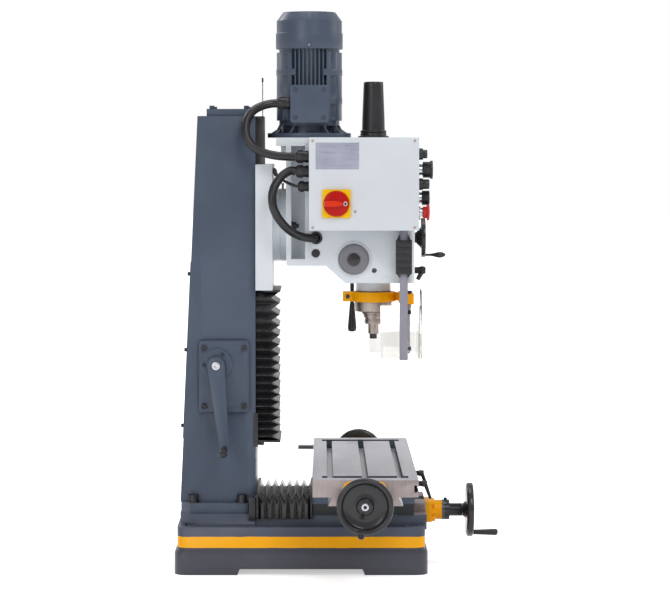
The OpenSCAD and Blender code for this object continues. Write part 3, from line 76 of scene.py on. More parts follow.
def addNode(tree, kind, inputs=None, **settings):
    # an input is a plain value or the socket that feeds it; gives the node's outputs
    node = tree.nodes.new("ShaderNode" + kind)
    for key, value in settings.items():
        setattr(node, key, value)
    for key, value in (inputs or {}).items():
        if isinstance(value, bpy.types.NodeSocket):
            tree.links.new(value, node.inputs[key])
        else:
            node.inputs[key].default_value = value
    return node.outputs


def startFinish(name, values):
    material = bpy.data.materials.new(name)
    material.use_nodes = True
    tree = material.node_tree
    shader = tree.nodes["Principled BSDF"]
    for key, value in values.items():
        shader.inputs[key].default_value = value
    return material, tree, shader, addNode(tree, "TexCoord")["Object"]


def feed(tree, shader, sockets):
    for key, socket in sockets.items():
        tree.links.new(socket, shader.inputs[key])


mid = {"From Min": 0.3, "From Max": 0.7}  # where most of a noise's values lie
midOfTwo = {"From Min": 0.75, "From Max": 1.25}  # and most of the sum of two
wideOfTwo = {"From Min": 0.7, "From Max": 1.3}
patch = {"drift": 140, "haze": 55, "wear": 70, "tapeEdge": 25, "wipes": 30}  # sizes of slow patterns in mm


def coating(name, colours, roughness, peel, cast=None, coat=0.0, specular=0.3, overlay=None):
    # a paint or plastic skin: slow colour drift, uneven gloss, and bumps given as (size, height) in mm
    material, tree, shader, coords = startFinish(name, {"Specular IOR Level": specular, "Coat Weight": coat,
                                                        "Coat Roughness": 0.12})
    cloud = addNode(tree, "TexNoise", {"Vector": coords, "Scale": 1 / (patch["drift"] * mm),
                                       "Detail": 3})["Fac"]
    drift = addNode(tree, "MapRange", {"Value": cloud, **mid})["Result"]
    colour = addNode(tree, "Mix", {0: drift, 6: linearColour(colours[0]), 7: linearColour(colours[1])},
                     data_type="RGBA")[2]
    if overlay:
        colour = overlay(tree, coords, drift, colour)
    haze = addNode(tree, "TexNoise", {"Vector": coords, "Scale": 1 / (patch["haze"] * mm),
                                      "Detail": 3})["Fac"]
    gloss = addNode(tree, "MapRange", {"Value": haze, **mid, "To Min": roughness[0],
                                       "To Max": roughness[1]})["Result"]
    skin = addNode(tree, "TexNoise", {"Vector": coords, "Scale": 1 / (peel[0] * mm), "Detail": 1})["Fac"]
    normal = addNode(tree, "Bump", {"Height": skin, "Distance": peel[1] * mm, "Strength": 1.0})["Normal"]
    if cast:
        waves = addNode(tree, "TexNoise", {"Vector": coords, "Scale": 1 / (cast[0] * mm), "Detail": 3})["Fac"]
        normal = addNode(tree, "Bump", {"Height": waves, "Distance": cast[1] * mm, "Strength": 1.0,
                                        "Normal": normal})["Normal"]
    feed(tree, shader, {"Base Color": colour, "Roughness": gloss, "Normal": normal})
    return material


def machined(name, colours, roughness, lay, mark, height, metallic=1.0):
    # a cut or ground metal: marks drawn out along its lay, mark mm apart, with broader patches of wear
    material, tree, shader, coords = startFinish(name, {"Metallic": metallic})
    along = addNode(tree, "Mapping", {"Vector": coords, "Scale": lay})["Vector"]
    marks = addNode(tree, "TexNoise", {"Vector": along, "Scale": 1 / (mark * mm), "Detail": 3})["Fac"]
    patches = addNode(tree, "TexNoise", {"Vector": coords, "Scale": 1 / (patch["wear"] * mm),
                                         "Detail": 4})["Fac"]
    both = addNode(tree, "Math", {0: marks, 1: patches}, operation="ADD")["Value"]
    worn = addNode(tree, "MapRange", {"Value": both, **midOfTwo})["Result"]
    colour = addNode(tree, "Mix", {0: worn, 6: linearColour(colours[0]), 7: linearColour(colours[1])},
                     data_type="RGBA")[2]
    dull = addNode(tree, "MapRange", {"Value": both, **wideOfTwo,
                                      "To Min": roughness[0], "To Max": roughness[1]})["Result"]
    normal = addNode(tree, "Bump", {"Height": marks, "Distance": height * mm, "Strength": 1.0})["Normal"]
    feed(tree, shader, {"Base Color": colour, "Roughness": dull, "Normal": normal})
    return material


# the skirt colours are a painted warm reflection on the base below the yellow band
stripe = {"low": 0.0632, "high": 0.0892, "wander": 0.0004, "skirt": ("#42434c", "#494a53"),
          "yellow": ("#f2a700", "#f8ae00")}


def maskedStripe(tree, coords, drift, slate):
    # yellow band sprayed between tapes, whose edge wanders by a few tenths of a millimetre; greyer below it,
    # where a warm reflection is painted into the colour
    height = addNode(tree, "SeparateXYZ", {"Vector": coords})["Z"]
    edge = addNode(tree, "TexNoise", {"Vector": coords, "Scale": 1 / (patch["tapeEdge"] * mm),
                                      "Detail": 2})["Fac"]
    wander = addNode(tree, "MapRange", {"Value": edge, **mid, "To Min": -stripe["wander"],
                                        "To Max": stripe["wander"]})["Result"]
    level = addNode(tree, "Math", {0: height, 1: wander}, operation="ADD")["Value"]
    under = addNode(tree, "Math", {0: level, 1: stripe["low"]}, operation="LESS_THAN")["Value"]
    over = addNode(tree, "Math", {0: level, 1: stripe["low"]}, operation="GREATER_THAN")["Value"]
    below = addNode(tree, "Math", {0: level, 1: stripe["high"]}, operation="LESS_THAN")["Value"]
    band = addNode(tree, "Math", {0: over, 1: below}, operation="MULTIPLY")["Value"]
    skirt, yellow = [addNode(tree, "Mix", {0: drift, 6: linearColour(pair[0]), 7: linearColour(pair[1])},
                             data_type="RGBA")[2] for pair in (stripe["skirt"], stripe["yellow"])]
    painted = addNode(tree, "Mix", {0: under, 6: slate, 7: skirt}, data_type="RGBA")[2]
    return addNode(tree, "Mix", {0: band, 6: painted, 7: yellow}, data_type="RGBA")[2]


def clearSheet(name, colours, roughness):
    # polycarbonate: clear, with faint wipe marks that run up and down
    material, tree, shader, coords = startFinish(name, {"IOR": 1.49, "Transmission Weight": 1.0})
    along = addNode(tree, "Mapping", {"Vector": coords, "Scale": (1, 1, 0.25)})["Vector"]
    wipes = addNode(tree, "TexNoise", {"Vector": along, "Scale": 1 / (patch["wipes"] * mm),
                                       "Detail": 4})["Fac"]
    shown = addNode(tree, "MapRange", {"Value": wipes, **mid})["Result"]
    colour = addNode(tree, "Mix", {0: shown, 6: linearColour(colours[0]), 7: linearColour(colours[1])},
                     data_type="RGBA")[2]
    smear = addNode(tree, "MapRange", {"Value": wipes, **mid, "To Min": roughness[0],
                                       "To Max": roughness[1]})["Result"]
    feed(tree, shader, {"Base Color": colour, "Roughness": smear})
    return material


coatings = {
    # stoved enamel over filled iron: soft gloss, faint orange peel over a slightly wavy casting
    "slateEnamel": {"colours": ("#404a5a", "#475263"), "roughness": (0.3, 0.42), "peel": (2.5, 0.03),
                    "cast": (45, 0.25)},
    "stripedEnamel": {"colours": ("#464c5a", "#4d5463"), "roughness": (0.3, 0.42), "peel": (2.5, 0.03),
                      "cast": (45, 0.3), "overlay": maskedStripe},
    "paleEnamel": {"colours": ("#d0d6dc", "#d8dde2"), "roughness": (0.28, 0.4), "peel": (2.5, 0.03),
                   "cast": (50, 0.2)},
    # painted shade: the boss's chamfer around the spring cap, darker than the head's own paint
    "bossPaintedShade": {"colours": ("#8f9c9f", "#99a5a8"), "roughness": (0.3, 0.4), "peel": (2.5, 0.03)},
    "yellowEnamel": {"colours": ("#f0a200", "#f6aa00"), "roughness": (0.26, 0.38), "peel": (3, 0.03),
                     "cast": (25, 0.15), "specular": 0.15},
    "saddleBand": {"colours": ("#1f2225", "#272a2e"), "roughness": (0.35, 0.5), "peel": (3, 0.05),
                   "cast": (25, 0.3)},
    "gutterGrey": {"colours": ("#343d47", "#3e4852"), "roughness": (0.4, 0.55), "peel": (3, 0.05)},
    # powder coat on folded sheet: fine even pebble
    "boxPowderCoat": {"colours": ("#c9ced5", "#cfd4da"), "roughness": (0.38, 0.46), "peel": (1.8, 0.04)},
    "springGrey": {"colours": ("#6f6e73", "#7a797f"), "roughness": (0.34, 0.44), "peel": (2, 0.03)},
    # phenolic moulding: hard, dark, polished by hands on its high parts
    "phenolicBlack": {"colours": ("#232225", "#2b2a2d"), "roughness": (0.16, 0.3), "peel": (6, 0.02),
                      "coat": 0.08},
    # moulded grips, knobs and buttons: satin or glossy, with a trace of flow in the surface
    "gripPlastic": {"colours": ("#1f1e20", "#29272a"), "roughness": (0.3, 0.42), "peel": (2, 0.03)},
    "glossRed": {"colours": ("#a90a05", "#b3120a"), "roughness": (0.22, 0.32), "peel": (8, 0.02),
                 "specular": 0.15},
    "knobRed": {"colours": ("#cf2a0c", "#d73412"), "roughness": (0.22, 0.32), "peel": (8, 0.02),
                "specular": 0.15},
    "dullRed": {"colours": ("#b8231d", "#c22c24"), "roughness": (0.28, 0.36), "peel": (5, 0.02)},
    "glossYellow": {"colours": ("#ecb600", "#f0bd00"), "roughness": (0.24, 0.34), "peel": (8, 0.02),
                    "specular": 0.15},
    "glossGreen": {"colours": ("#1f2a24", "#26332b"), "roughness": (0.25, 0.35), "peel": (5, 0.02)},
    # folded rubber cloth: dull with a leathery grain that catches light on the creases
    "bellowsCloth": {"colours": ("#111113", "#1c1c1f"), "roughness": (0.2, 0.34), "peel": (1.6, 0.03),
                     "cast": (18, 0.3), "specular": 0.5},
    # smooth flexible conduit with a faint extrusion wave
    "conduitPvc": {"colours": ("#151417", "#1d1c20"), "roughness": (0.26, 0.36), "peel": (4, 0.08),
                   "specular": 0.35},
}

# tool marks are 0.1 to 0.4 mm apart on the real metal, and are drawn 2 to 4 mm apart so that they show
metals = {
    # ground along the table
    "groundIron": {"colours": ("#b2b1b8", "#c6c5cb"), "roughness": (0.3, 0.44), "lay": (0.05, 1, 1),
                   "mark": 3, "height": 0.012, "metallic": 0.85},
    # slot floors darker than the top: a painted dark reflection and shade in the slots
    "shadedSlotIron": {"colours": ("#6f6e74", "#86858a"), "roughness": (0.5, 0.66), "lay": (0.08, 1, 1),
                 "mark": 3, "height": 0.02, "metallic": 0.4},
    # milled faces; their pinkish-brown tint is a painted reflection
    "reflectionTintedIron": {"colours": ("#877d7c", "#9a908e"), "roughness": (0.36, 0.5), "lay": (1, 1, 0.08),
                   "mark": 4, "height": 0.03, "metallic": 0.85},
    # scraped and oiled slideway: dark, marks along the travel
    "wayIron": {"colours": ("#534f51", "#625d5e"), "roughness": (0.4, 0.55), "lay": (1, 1, 0.06),
                "mark": 3, "height": 0.01, "metallic": 0.6},
    # turned and ground steel
    "turnedSteel": {"colours": ("#9c9ca2", "#b6b6bc"), "roughness": (0.2, 0.34), "lay": (1, 1, 0.3),
                    "mark": 2.5, "height": 0.01},
    "arborSteel": {"colours": ("#857b76", "#9d938d"), "roughness": (0.34, 0.48), "lay": (1, 1, 0.3),
                   "mark": 2.5, "height": 0.008},
    "dullSteel": {"colours": ("#7c7b80", "#929196"), "roughness": (0.32, 0.46), "lay": (0.4, 1, 0.4),
                  "mark": 2.5, "height": 0.02},
    "scaleBar": {"colours": ("#7b7985", "#8a8892"), "roughness": (0.5, 0.6), "lay": (1, 1, 0.06),
                 "mark": 2, "height": 0.01, "metallic": 0.6},
    # silver screws with a painted reddish-brown shade in their colour
    "screwPaintedShade": {"colours": ("#8f8078", "#a5968c"), "roughness": (0.3, 0.44), "lay": (1, 1, 1),
                   "mark": 2, "height": 0.01},
    # oil-blackened steel of the cap screws
    "blackOxide": {"colours": ("#2b2a2d", "#3a393d"), "roughness": (0.3, 0.42), "lay": (1, 1, 1),
                   "mark": 3, "height": 0.01, "metallic": 0.8},
    "bronze": {"colours": ("#a8803c", "#bd9650"), "roughness": (0.28, 0.4), "lay": (1, 1, 0.3),
               "mark": 2.5, "height": 0.01},
    # brushed aluminium plate, lines along its length
    "plateAluminium": {"colours": ("#9093a3", "#9fa1b0"), "roughness": (0.26, 0.36), "lay": (1, 0.04, 1),
                       "mark": 2, "height": 0.006, "metallic": 0.9},
}
finishes = {name: coating(name, **values) for name, values in coatings.items()}
finishes.update({name: machined(name, **values) for name, values in metals.items()})
finishes["clearSheet"] = clearSheet("clearSheet", ("#f1efec", "#f8f7f5"), (0.015, 0.06))
print("finishes made:", len(finishes))


def settle(bm, name, coats, smoothAngle):
    # the finished shape, already in metres, as an object at the origin
    mesh = bpy.data.meshes.new(name)
    bm.to_mesh(mesh)
    bm.free()
    for polygon in mesh.polygons:
        polygon.use_smooth = True
    mesh.set_sharp_from_angle(angle=math.radians(smoothAngle))
    for coat in coats:
        mesh.materials.append(finishes[coat])
    piece = bpy.data.objects.new(name, mesh)
    bpy.context.scene.collection.objects.link(piece)
    return piece


def finishPiece(bm, name, finish, body, replaces=(), smoothAngle=32):
    # a new shape drawn in mm; body is None for a piece between two bodies, which is left unattached
    bmesh.ops.remove_doubles(bm, verts=bm.verts, dist=weld["drawn"])
    bmesh.ops.dissolve_degenerate(bm, edges=bm.edges, dist=weld["sliver"])
    bmesh.ops.recalc_face_normals(bm, faces=bm.faces)
    bmesh.ops.scale(bm, vec=(mm, mm, mm), verts=bm.verts)
    piece = settle(bm, name, [finish], smoothAngle)
    if body:
        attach(piece, body)
    if replaces:
        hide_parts(*replaces)
    return piece


def spun(bm, profile, axis, centre, steps=64):
    # a turned shape: profile is (radius, place along the axis)
    place = {"X": lambda r, a: (a, r, 0), "Y": lambda r, a: (r, a, 0), "Z": lambda r, a: (r, 0, a)}[axis]
    line = [bm.verts.new(Vector(centre) + Vector(place(r, a))) for r, a in profile]
    edges = [bm.edges.new(pair) for pair in zip(line, line[1:])]
    about = {"X": (1, 0, 0), "Y": (0, 1, 0), "Z": (0, 0, 1)}[axis]
    bmesh.ops.spin(bm, geom=line + edges, cent=centre, axis=about, angle=2 * math.pi, steps=steps,
                   use_merge=True)


def easeEdges(bm, verts, bevel, segments=2):
    edges = list({e for v in verts for e in v.link_edges})
    bmesh.ops.bevel(bm, geom=edges, offset=bevel, segments=segments, affect="EDGES", profile=0.5, material=-1)


def addBlock(bm, low, high, bevel, segments=2):
    low, high = Vector(low), Vector(high)
    place = Matrix.Translation((low + high) / 2) @ Matrix.Diagonal((*(high - low), 1))
    made = bmesh.ops.create_cube(bm, size=1, matrix=place)
    easeEdges(bm, made["verts"], bevel, segments)


def addSideBlock(bm, side, low, high, bevel):
    # a block given for the right-hand side, and mirrored where side is -1
    across = sorted((side * low[0], side * high[0]))
    addBlock(bm, (across[0], *low[1:]), (across[1], *high[1:]), bevel)


def addRod(bm, start, end, radius, endRadius=None, sides=24):
    start, end = Vector(start), Vector(end)
    turn = (end - start).to_track_quat("Z", "Y").to_matrix().to_4x4()
    bmesh.ops.create_cone(bm, cap_ends=True, segments=sides, radius1=radius,
                          radius2=radius if endRadius is None else endRadius, depth=(end - start).length,
                          matrix=Matrix.Translation((start + end) / 2) @ turn)


def addScrew(bm, at, toward, radius, height):
    # cap screw with a round socket, its underside on the surface at "at"
    socket, floor = radius * 0.5, height * 0.4
    turn = Vector(toward).to_track_quat("Z", "Y").to_matrix().to_4x4()
    part = bmesh.new()
    line = [(0, floor), (socket, floor), (socket, height), (radius * 0.88, height), (radius, height * 0.85),
            (radius, 0), (0, 0)]
    spun(part, line, "Z", (0, 0, 0), 20)
    bmesh.ops.transform(part, matrix=Matrix.Translation(at) @ turn, verts=part.verts)
    mesh = bpy.data.meshes.new("screw")
    part.to_mesh(mesh)
    part.free()
    bm.from_mesh(mesh)
    bpy.data.meshes.remove(mesh)


def bodyOf(nodeName):
    for body, names in frame["record"]["behaviour"]["bodies"].items():
        if nodeName in names:
            return body


def dressed(nodeName, finish, width=0.8, regions=(), smoothAngle=32):
    # the node's own shape with its sharp edges eased; regions give other finishes to parts of it, by a
    # face's middle in mm, and the first region that fits counts
    bm = bmesh.new()
    bm.from_mesh(nodes[nodeName].data)
    bmesh.ops.remove_doubles(bm, verts=bm.verts, dist=weld["cad"] * mm)
    flat = math.radians(weld["flatDegrees"])
    bmesh.ops.dissolve_limit(bm, angle_limit=flat, verts=bm.verts, edges=bm.edges)
    for face in bm.faces:
        middle = face.calc_center_median() / mm
        face.material_index = next((i + 1 for i, (_, test) in enumerate(regions) if test(middle)), 0)
    if width:
        least = math.radians(weld["sharpDegrees"])
        sharp = [e for e in bm.edges if e.is_manifold and e.calc_face_angle(0) > least]
        bmesh.ops.bevel(bm, geom=sharp, offset=width * mm, segments=2, affect="EDGES", profile=0.5,
                        material=-1, clamp_overlap=True, loop_slide=True)
    bmesh.ops.triangulate(bm, faces=[f for f in bm.faces if len(f.verts) > 4])
    piece = settle(bm, nodeName + "_dressed", [finish] + [coat for coat, _ in regions], smoothAngle)
    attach(piece, bodyOf(nodeName))
    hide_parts(nodeName)


def paint(nodeName, finish):
    # a node that keeps its own mesh and takes a finish
    for place in nodes[nodeName].material_slots:
        place.material = finishes[finish]


def radial(point, axis, centre):
    a, b = {"X": (1, 2), "Y": (0, 2), "Z": (0, 1)}[axis]
    return math.hypot(point[a] - centre[0], point[b] - centre[1])


# the photograph is nearly a level view cropped off centre; a slight downward tilt stands in for most
# of that crop, and a shift, in pixels of the picture, for the rest
view = {"lens": 129.295, "sensor": 36, "at": (-5.8098, -0.0471, 1.0001), "tilt": 0.03801,
        "pictureWidth": 670, "shift": (13.8, -60), "reach": 60}
camera = bpy.data.objects.new("camera", bpy.data.cameras.new("camera"))
camera.data.lens = view["lens"]
camera.data.sensor_width = view["sensor"]
camera.data.shift_x = view["shift"][0] / view["pictureWidth"]
camera.data.shift_y = view["shift"][1] / view["pictureWidth"]
camera.data.clip_end = view["reach"]
camera.location = view["at"]
ahead = Vector((math.cos(view["tilt"]), 0, -math.sin(view["tilt"])))
camera.rotation_euler = ahead.to_track_quat("-Z", "Y").to_euler()
bpy.context.scene.collection.objects.link(camera)
bpy.context.scene.camera = camera

# dim for the light it gives, white where the camera or the clear guard sees it, in between in reflections
surround = {"light": 0.4, "white": 1.0, "inReflections": 0.55}
world = bpy.data.worlds.new("studio")
bpy.context.scene.world = world
world.use_nodes = True
sky = world.node_tree
path = addNode(sky, "LightPath")
seen = addNode(sky, "Math", {0: path["Is Camera Ray"], 1: path["Is Transmission Ray"]},
               operation="ADD")["Value"]
mirrored = addNode(sky, "Math", {0: path["Is Glossy Ray"], 1: surround["inReflections"], 2: seen},
                   operation="MULTIPLY_ADD", use_clamp=True)["Value"]
strength = addNode(sky, "MapRange", {"Value": mirrored, "To Min": surround["light"],
                                     "To Max": surround["white"]})["Result"]
sky.nodes["Background"].inputs["Color"].default_value = (1, 1, 1, 1)
feed(sky, sky.nodes["Background"], {"Strength": strength})

lamps = {
    "keyLamp": {"at": (-5.2, -2.2, 5.2), "size": 2.8, "power": 158},
    "fillLamp": {"at": (-5.8, 3.0, 2.6), "size": 2.8, "power": 84},
    "topLamp": {"at": (0.6, 0.2, 6.4), "size": 3.2, "power": 130},
    "frontLamp": {"at": (1.6, -6.2, 4.0), "size": 3.0, "power": 120},
    "rearLamp": {"at": (4.4, 4.6, 4.2), "size": 3.0, "power": 130},
}
aim = Vector((0, 0, 0.6))
for name, lamp in lamps.items():
    light = bpy.data.lights.new(name, "AREA")
    light.size = lamp["size"]
    light.energy = lamp["power"]
    holder = bpy.data.objects.new(name, light)
    holder.location = lamp["at"]
    holder.rotation_euler = (aim - Vector(lamp["at"])).to_track_quat("-Z", "Y").to_euler()
    bpy.context.scene.collection.objects.link(holder)

bpy.context.scene.view_settings.view_transform = "Standard"

# the sweep of white paper: lit by its own glow away from the object, so that the shadow at the foot stays
paper = {"colours": ("#f6f6f6", "#fbfbfb"), "roughness": 0.9, "grain": 900, "size": 30,
         "glowFrom": 0.35, "glowTo": 2.0, "glow": (0.5, 1.0)}
paperFinish, tree, shader, coords = startFinish("paleFloor", {"Roughness": paper["roughness"],
                                                              "Emission Color": (1, 1, 1, 1)})
grain = addNode(tree, "TexNoise", {"Vector": coords, "Scale": 1 / (paper["grain"] * mm),
                                   "Detail": 2})["Fac"]
colour = addNode(tree, "Mix", {0: grain, 6: linearColour(paper["colours"][0]),
                               7: linearColour(paper["colours"][1])}, data_type="RGBA")[2]
path = addNode(tree, "LightPath")
seen = addNode(tree, "Math", {0: path["Is Camera Ray"], 1: path["Is Glossy Ray"]},
               operation="ADD")["Value"]
shown = addNode(tree, "Math", {0: seen, 1: path["Is Transmission Ray"]}, operation="ADD",
                use_clamp=True)["Value"]
reach = addNode(tree, "VectorMath", {0: coords}, operation="LENGTH")["Value"]
glow = addNode(tree, "MapRange", {"Value": reach, "From Min": paper["glowFrom"],
                                  "From Max": paper["glowTo"], "To Min": paper["glow"][0],
                                  "To Max": paper["glow"][1]})["Result"]
lift = addNode(tree, "Math", {0: shown, 1: glow}, operation="MULTIPLY")["Value"]
feed(tree, shader, {"Base Color": colour, "Emission Strength": lift})
bm = bmesh.new()
bmesh.ops.create_grid(bm, x_segments=2, y_segments=2, size=paper["size"])
floorMesh = bpy.data.meshes.new("floor")
bm.to_mesh(floorMesh)
bm.free()
floorMesh.materials.append(paperFinish)
floor = bpy.data.objects.new("floor", floorMesh)
bpy.context.scene.collection.objects.link(floor)
print("camera, lamps and floor placed")


# castings and sheet work; each region's limits lie just inside the edges of the face that it picks
tableEdges = {"end": 399.9, "front": -267.4, "back": -27.6, "top": 251.3, "slotFloor": 231,
              "slotEnd": 362.5, "gutter": 328, "frontSlot": -262, "backSlot": -40,
              "grooveTop": 240, "grooveFloor": 223, "grooveIn": -254}


def belowTableTop(p):
    return (tableEdges["slotFloor"] < p.z < tableEdges["top"] and abs(p.x) < tableEdges["slotEnd"]
            and tableEdges["frontSlot"] < p.y < tableEdges["backSlot"])


def inStopGroove(p):
    # the stops that stand out in front, and the groove in the table's front that holds them
    if p.y < tableEdges["front"] - 0.6:
        return p.z < tableEdges["grooveTop"]
    return (tableEdges["grooveFloor"] < p.z < tableEdges["grooveTop"] and abs(p.x) < tableEdges["end"]
            and tableEdges["front"] + 0.05 < p.y < tableEdges["grooveIn"])


dressed("base_casting", "stripedEnamel", 1.6,
        # the cross way's milled iron carries the painted pinkish-brown reflection
        [("reflectionTintedIron", lambda p: p.z > 133.89 and abs(p.x) < 141 and p.y < 112)])  # the cross way
dressed("column_casting", "slateEnamel", 1.6,
        [("wayIron", lambda p: p.y < 108.9 and abs(p.x) < 82)])  # the dovetail way
dressed("column_covers", "slateEnamel", 1.0)
dressed("crank_gear_plate", "slateEnamel", 0.8)
dressed("frame_screws", "blackOxide", 0.5,
        [("yellowEnamel", lambda p: p.y < -290),  # on the cross bracket
         ("slateEnamel", lambda p: p.z > 1078)])  # on the top cover
dressed("z_saddle", "paleEnamel", 1.2,
        [("groundIron", lambda p: p.y > 75 and abs(p.x) < 83)])
# the ring on the boss's chamfer takes the painted shade
dressed("head_casting", "paleEnamel", 1.2,
        [("bossPaintedShade", lambda p: 39 < radial(p, "X", pinionAxis) < 44.8 and -116 < p.x < -100)])
dressed("cross_saddle", "slateEnamel", 0.8, [("saddleBand", lambda p: p.z < 160.4)])
dressed("cross_bracket", "yellowEnamel", 1.0)
dressed("table_brackets", "yellowEnamel", 1.0)
dressed("table", "groundIron", 0.7,
        [("dullSteel", lambda p: p.y > tableEdges["back"] + 0.2),
         ("blackOxide", inStopGroove),
         ("gutterGrey", lambda p: belowTableTop(p) and abs(p.x) > tableEdges["gutter"]),
         # slot floors: painted dark reflection and shade
         ("shadedSlotIron", belowTableTop),
         # milled ends and sides: painted pinkish-brown reflection
         ("reflectionTintedIron", lambda p: abs(p.x) > tableEdges["end"]
          or not tableEdges["front"] <= p.y <= tableEdges["back"])])
dressed("control_box", "boxPowderCoat", 0.8)
dressed("control_box_cover", "boxPowderCoat", 0.8)
print("castings dressed")

# drive, feeds and controls
motorBolts = {"offset": 62.9, "radius": 8.6, "low": 1037.1, "high": 1048}
dressed("motor_frame", "slateEnamel", 0.6,
        [("blackOxide", lambda p: motorBolts["low"] < p.z < motorBolts["high"]
          and math.hypot(abs(p.x) - motorBolts["offset"], abs(p.y - motorY) - motorBolts["offset"])
          < motorBolts["radius"])])
dressed("fan_cowl", "slateEnamel", 0.5)
dressed("drawbar_cover", "gripPlastic", 0.5)
dressed("spring_cap", "springGrey", 0.5,
        [("phenolicBlack",  # centre disc
          lambda p: p.x < -129.3 or 10 < radial(p, "X", pinionAxis) < 14.9)])
dressed("dro_bar", "scaleBar", 0.4)
dressed("dro_reader", "gripPlastic", 0.5)
dressed("guard_bracket", "yellowEnamel", 0.6,
        [("blackOxide", lambda p: p.y > -116 and abs(p.x) > 10.2)])  # clamp screw
dressed("guard_rod", "dullSteel", 0.3, [("gripPlastic", lambda p: p.z > 655.5)])  # knob
dressed("guard_shield", "clearSheet", 0.5)
dressed("quill", "turnedSteel", 0.5,
        [("arborSteel", lambda p: p.z < 631),
         ("blackOxide", lambda p: 649.9 < p.z < 657 and radial(p, "Z", spindleAxis) > 38.5)])
dressed("spindle", "arborSteel", 0.5)
dressed("mill_arbor", "arborSteel", 0.4, [("blackOxide", lambda p: p.z < 552.8)])
dressed("pinion_shaft", "turnedSteel", 0)
dressed("capstan_handles", "paleEnamel", 0.6,
        [("gripPlastic", lambda p: radial(p, "X", pinionAxis) > 121),  # knobs
         ("blackOxide", lambda p: radial(p, "X", pinionAxis) > 33.5 and p.x > 150)])  # spokes
dressed("fine_feed_wheel", "phenolicBlack", 0.4, smoothAngle=40)
dressed("crank_arm", "slateEnamel", 0.5,
        [("turnedSteel", lambda p: p.x < -153.2 and radial(p, "X", crankAxis) < 12),  # screw at the hub
         ("blackOxide", lambda p: p.x < -167.4 and p.z < 310)])  # pin of the grip
dressed("crank_shaft", "turnedSteel", 0)
dressed("crank_grip", "gripPlastic", 0)
for grip in ("table_grip_left", "table_grip_right", "cross_grip"):
    dressed(grip, "gripPlastic", 0.3)
dressed("table_screw", "turnedSteel", 0.4,
        [("blackOxide", lambda p: radial(p, "X", tableScrewAxis) > 10)])  # dials
dressed("cross_screw", "turnedSteel", 0.4,
        [("blackOxide", lambda p: p.y < -339 and radial(p, "Y", crossScrewAxis) > 9.5)])
for lever in ("table_lock_left", "table_lock_right", "quill_lock"):
    dressed(lever, "gripPlastic", 0.4)
dressed("main_switch", "glossRed", 0.8,
        [("turnedSteel", lambda p: math.hypot(p.y - switchAxis[0], p.z - switchAxis[1]) < 6 and p.x < -223),
         ("knobRed", lambda p: p.x < -225.8)])
buttons = {"stop_mushroom": ("dullRed", 0.5, -284.6), "jog_button": ("gripPlastic", 0.4, -284.4),
           "start_button": ("glossGreen", 0.4, -284.4), "stop_button": ("gripPlastic", 0.4, -284.4)}
for button, (finish, width, bezel) in buttons.items():
    dressed(button, finish, width, [("turnedSteel", lambda p: p.y > bezel)])
dressed("speed_knob", "gripPlastic", 0.4)
dressed("switch_bases", "turnedSteel", 0.5,
        [("glossYellow", lambda p: p.x < -205),
         ("gripPlastic", lambda p: 900 < p.z < 935 or p.z > 965)])
dressed("tilt_bolts", "blackOxide", 0.4)
dressed("limit_rod", "turnedSteel", 0, [("gripPlastic", lambda p: p.z > 1162)])  # tip
dressed("lift_screw", "turnedSteel", 0)
dressed("lift_nut", "bronze", 0.4)
for inner in ("motor_rotor", "countershaft", "drive_sleeve"):
    paint(inner, "turnedSteel")
print("machine parts dressed")


# folded guards
def foldLine(bm, folds, place, half, top, along, sag):
    # one crease, from the foot of one side over the top to the foot of the other
    base = folds["base"]
    inward = sag if base > top else -sag
    spots = [(-half, base), (-half, (top + base) / 2), (-half, top), (-half / 2, top + inward),
             (0, top + inward * folds["midSag"]), (half / 2, top + inward), (half, top),
             (half, (top + base) / 2), (half, base)]
    line = [bm.verts.new(place(across, out, along)) for across, out in spots]
    return [bm.edges.new(pair) for pair in zip(line, line[1:])]


creaseAngle = 0.5  # in radians: a fold turns by more than this


def foldedSheet(bm, folds, place):
    # thin cloth in pleats with mitred corners: the top dips where the sides stand out, and rises where not
    steps = 2 * folds["count"]
    share = [1 + folds["slack"] * (i / steps) ** 3 + folds["uneven"][0] * math.sin(i * folds["uneven"][1])
             for i in range(steps)]
    reach = folds["end"] - folds["start"]
    lines = []
    for i in range(steps + 1):
        along = folds["start"] + reach * sum(share[:i]) / sum(share)
        half, top = folds["sideOut"] if i % 2 else folds["sideIn"]
        sag = folds["sag"][0] * math.sin(i * folds["sag"][1])
        lines.append(foldLine(bm, folds, place, half, top, along, sag))
    for lower, upper in zip(lines, lines[1:]):
        bmesh.ops.bridge_loops(bm, edges=lower + upper)
    creases = [e for e in bm.edges if len(e.link_faces) == 2 and e.calc_face_angle(0) > creaseAngle]
    bmesh.ops.bevel(bm, geom=creases, offset=folds["crease"], segments=2, affect="EDGES", profile=0.5,
                    material=-1)
    bmesh.ops.recalc_face_normals(bm, faces=bm.faces)
    bmesh.ops.solidify(bm, geom=bm.faces[:], thickness=folds["cloth"])


def addArch(bm, outline, start, end, bevel):
    # a plate cut to the outline (x, z), from start to end along y
    ring = [bm.verts.new((x, start, z)) for x, z in outline]
    face = bm.faces.new(ring)
    made = bmesh.ops.extrude_face_region(bm, geom=[face])["geom"]
    moved = [g for g in made if isinstance(g, bmesh.types.BMVert)]
    bmesh.ops.translate(bm, verts=moved, vec=(0, end - start, 0))
    easeEdges(bm, ring + moved, bevel)


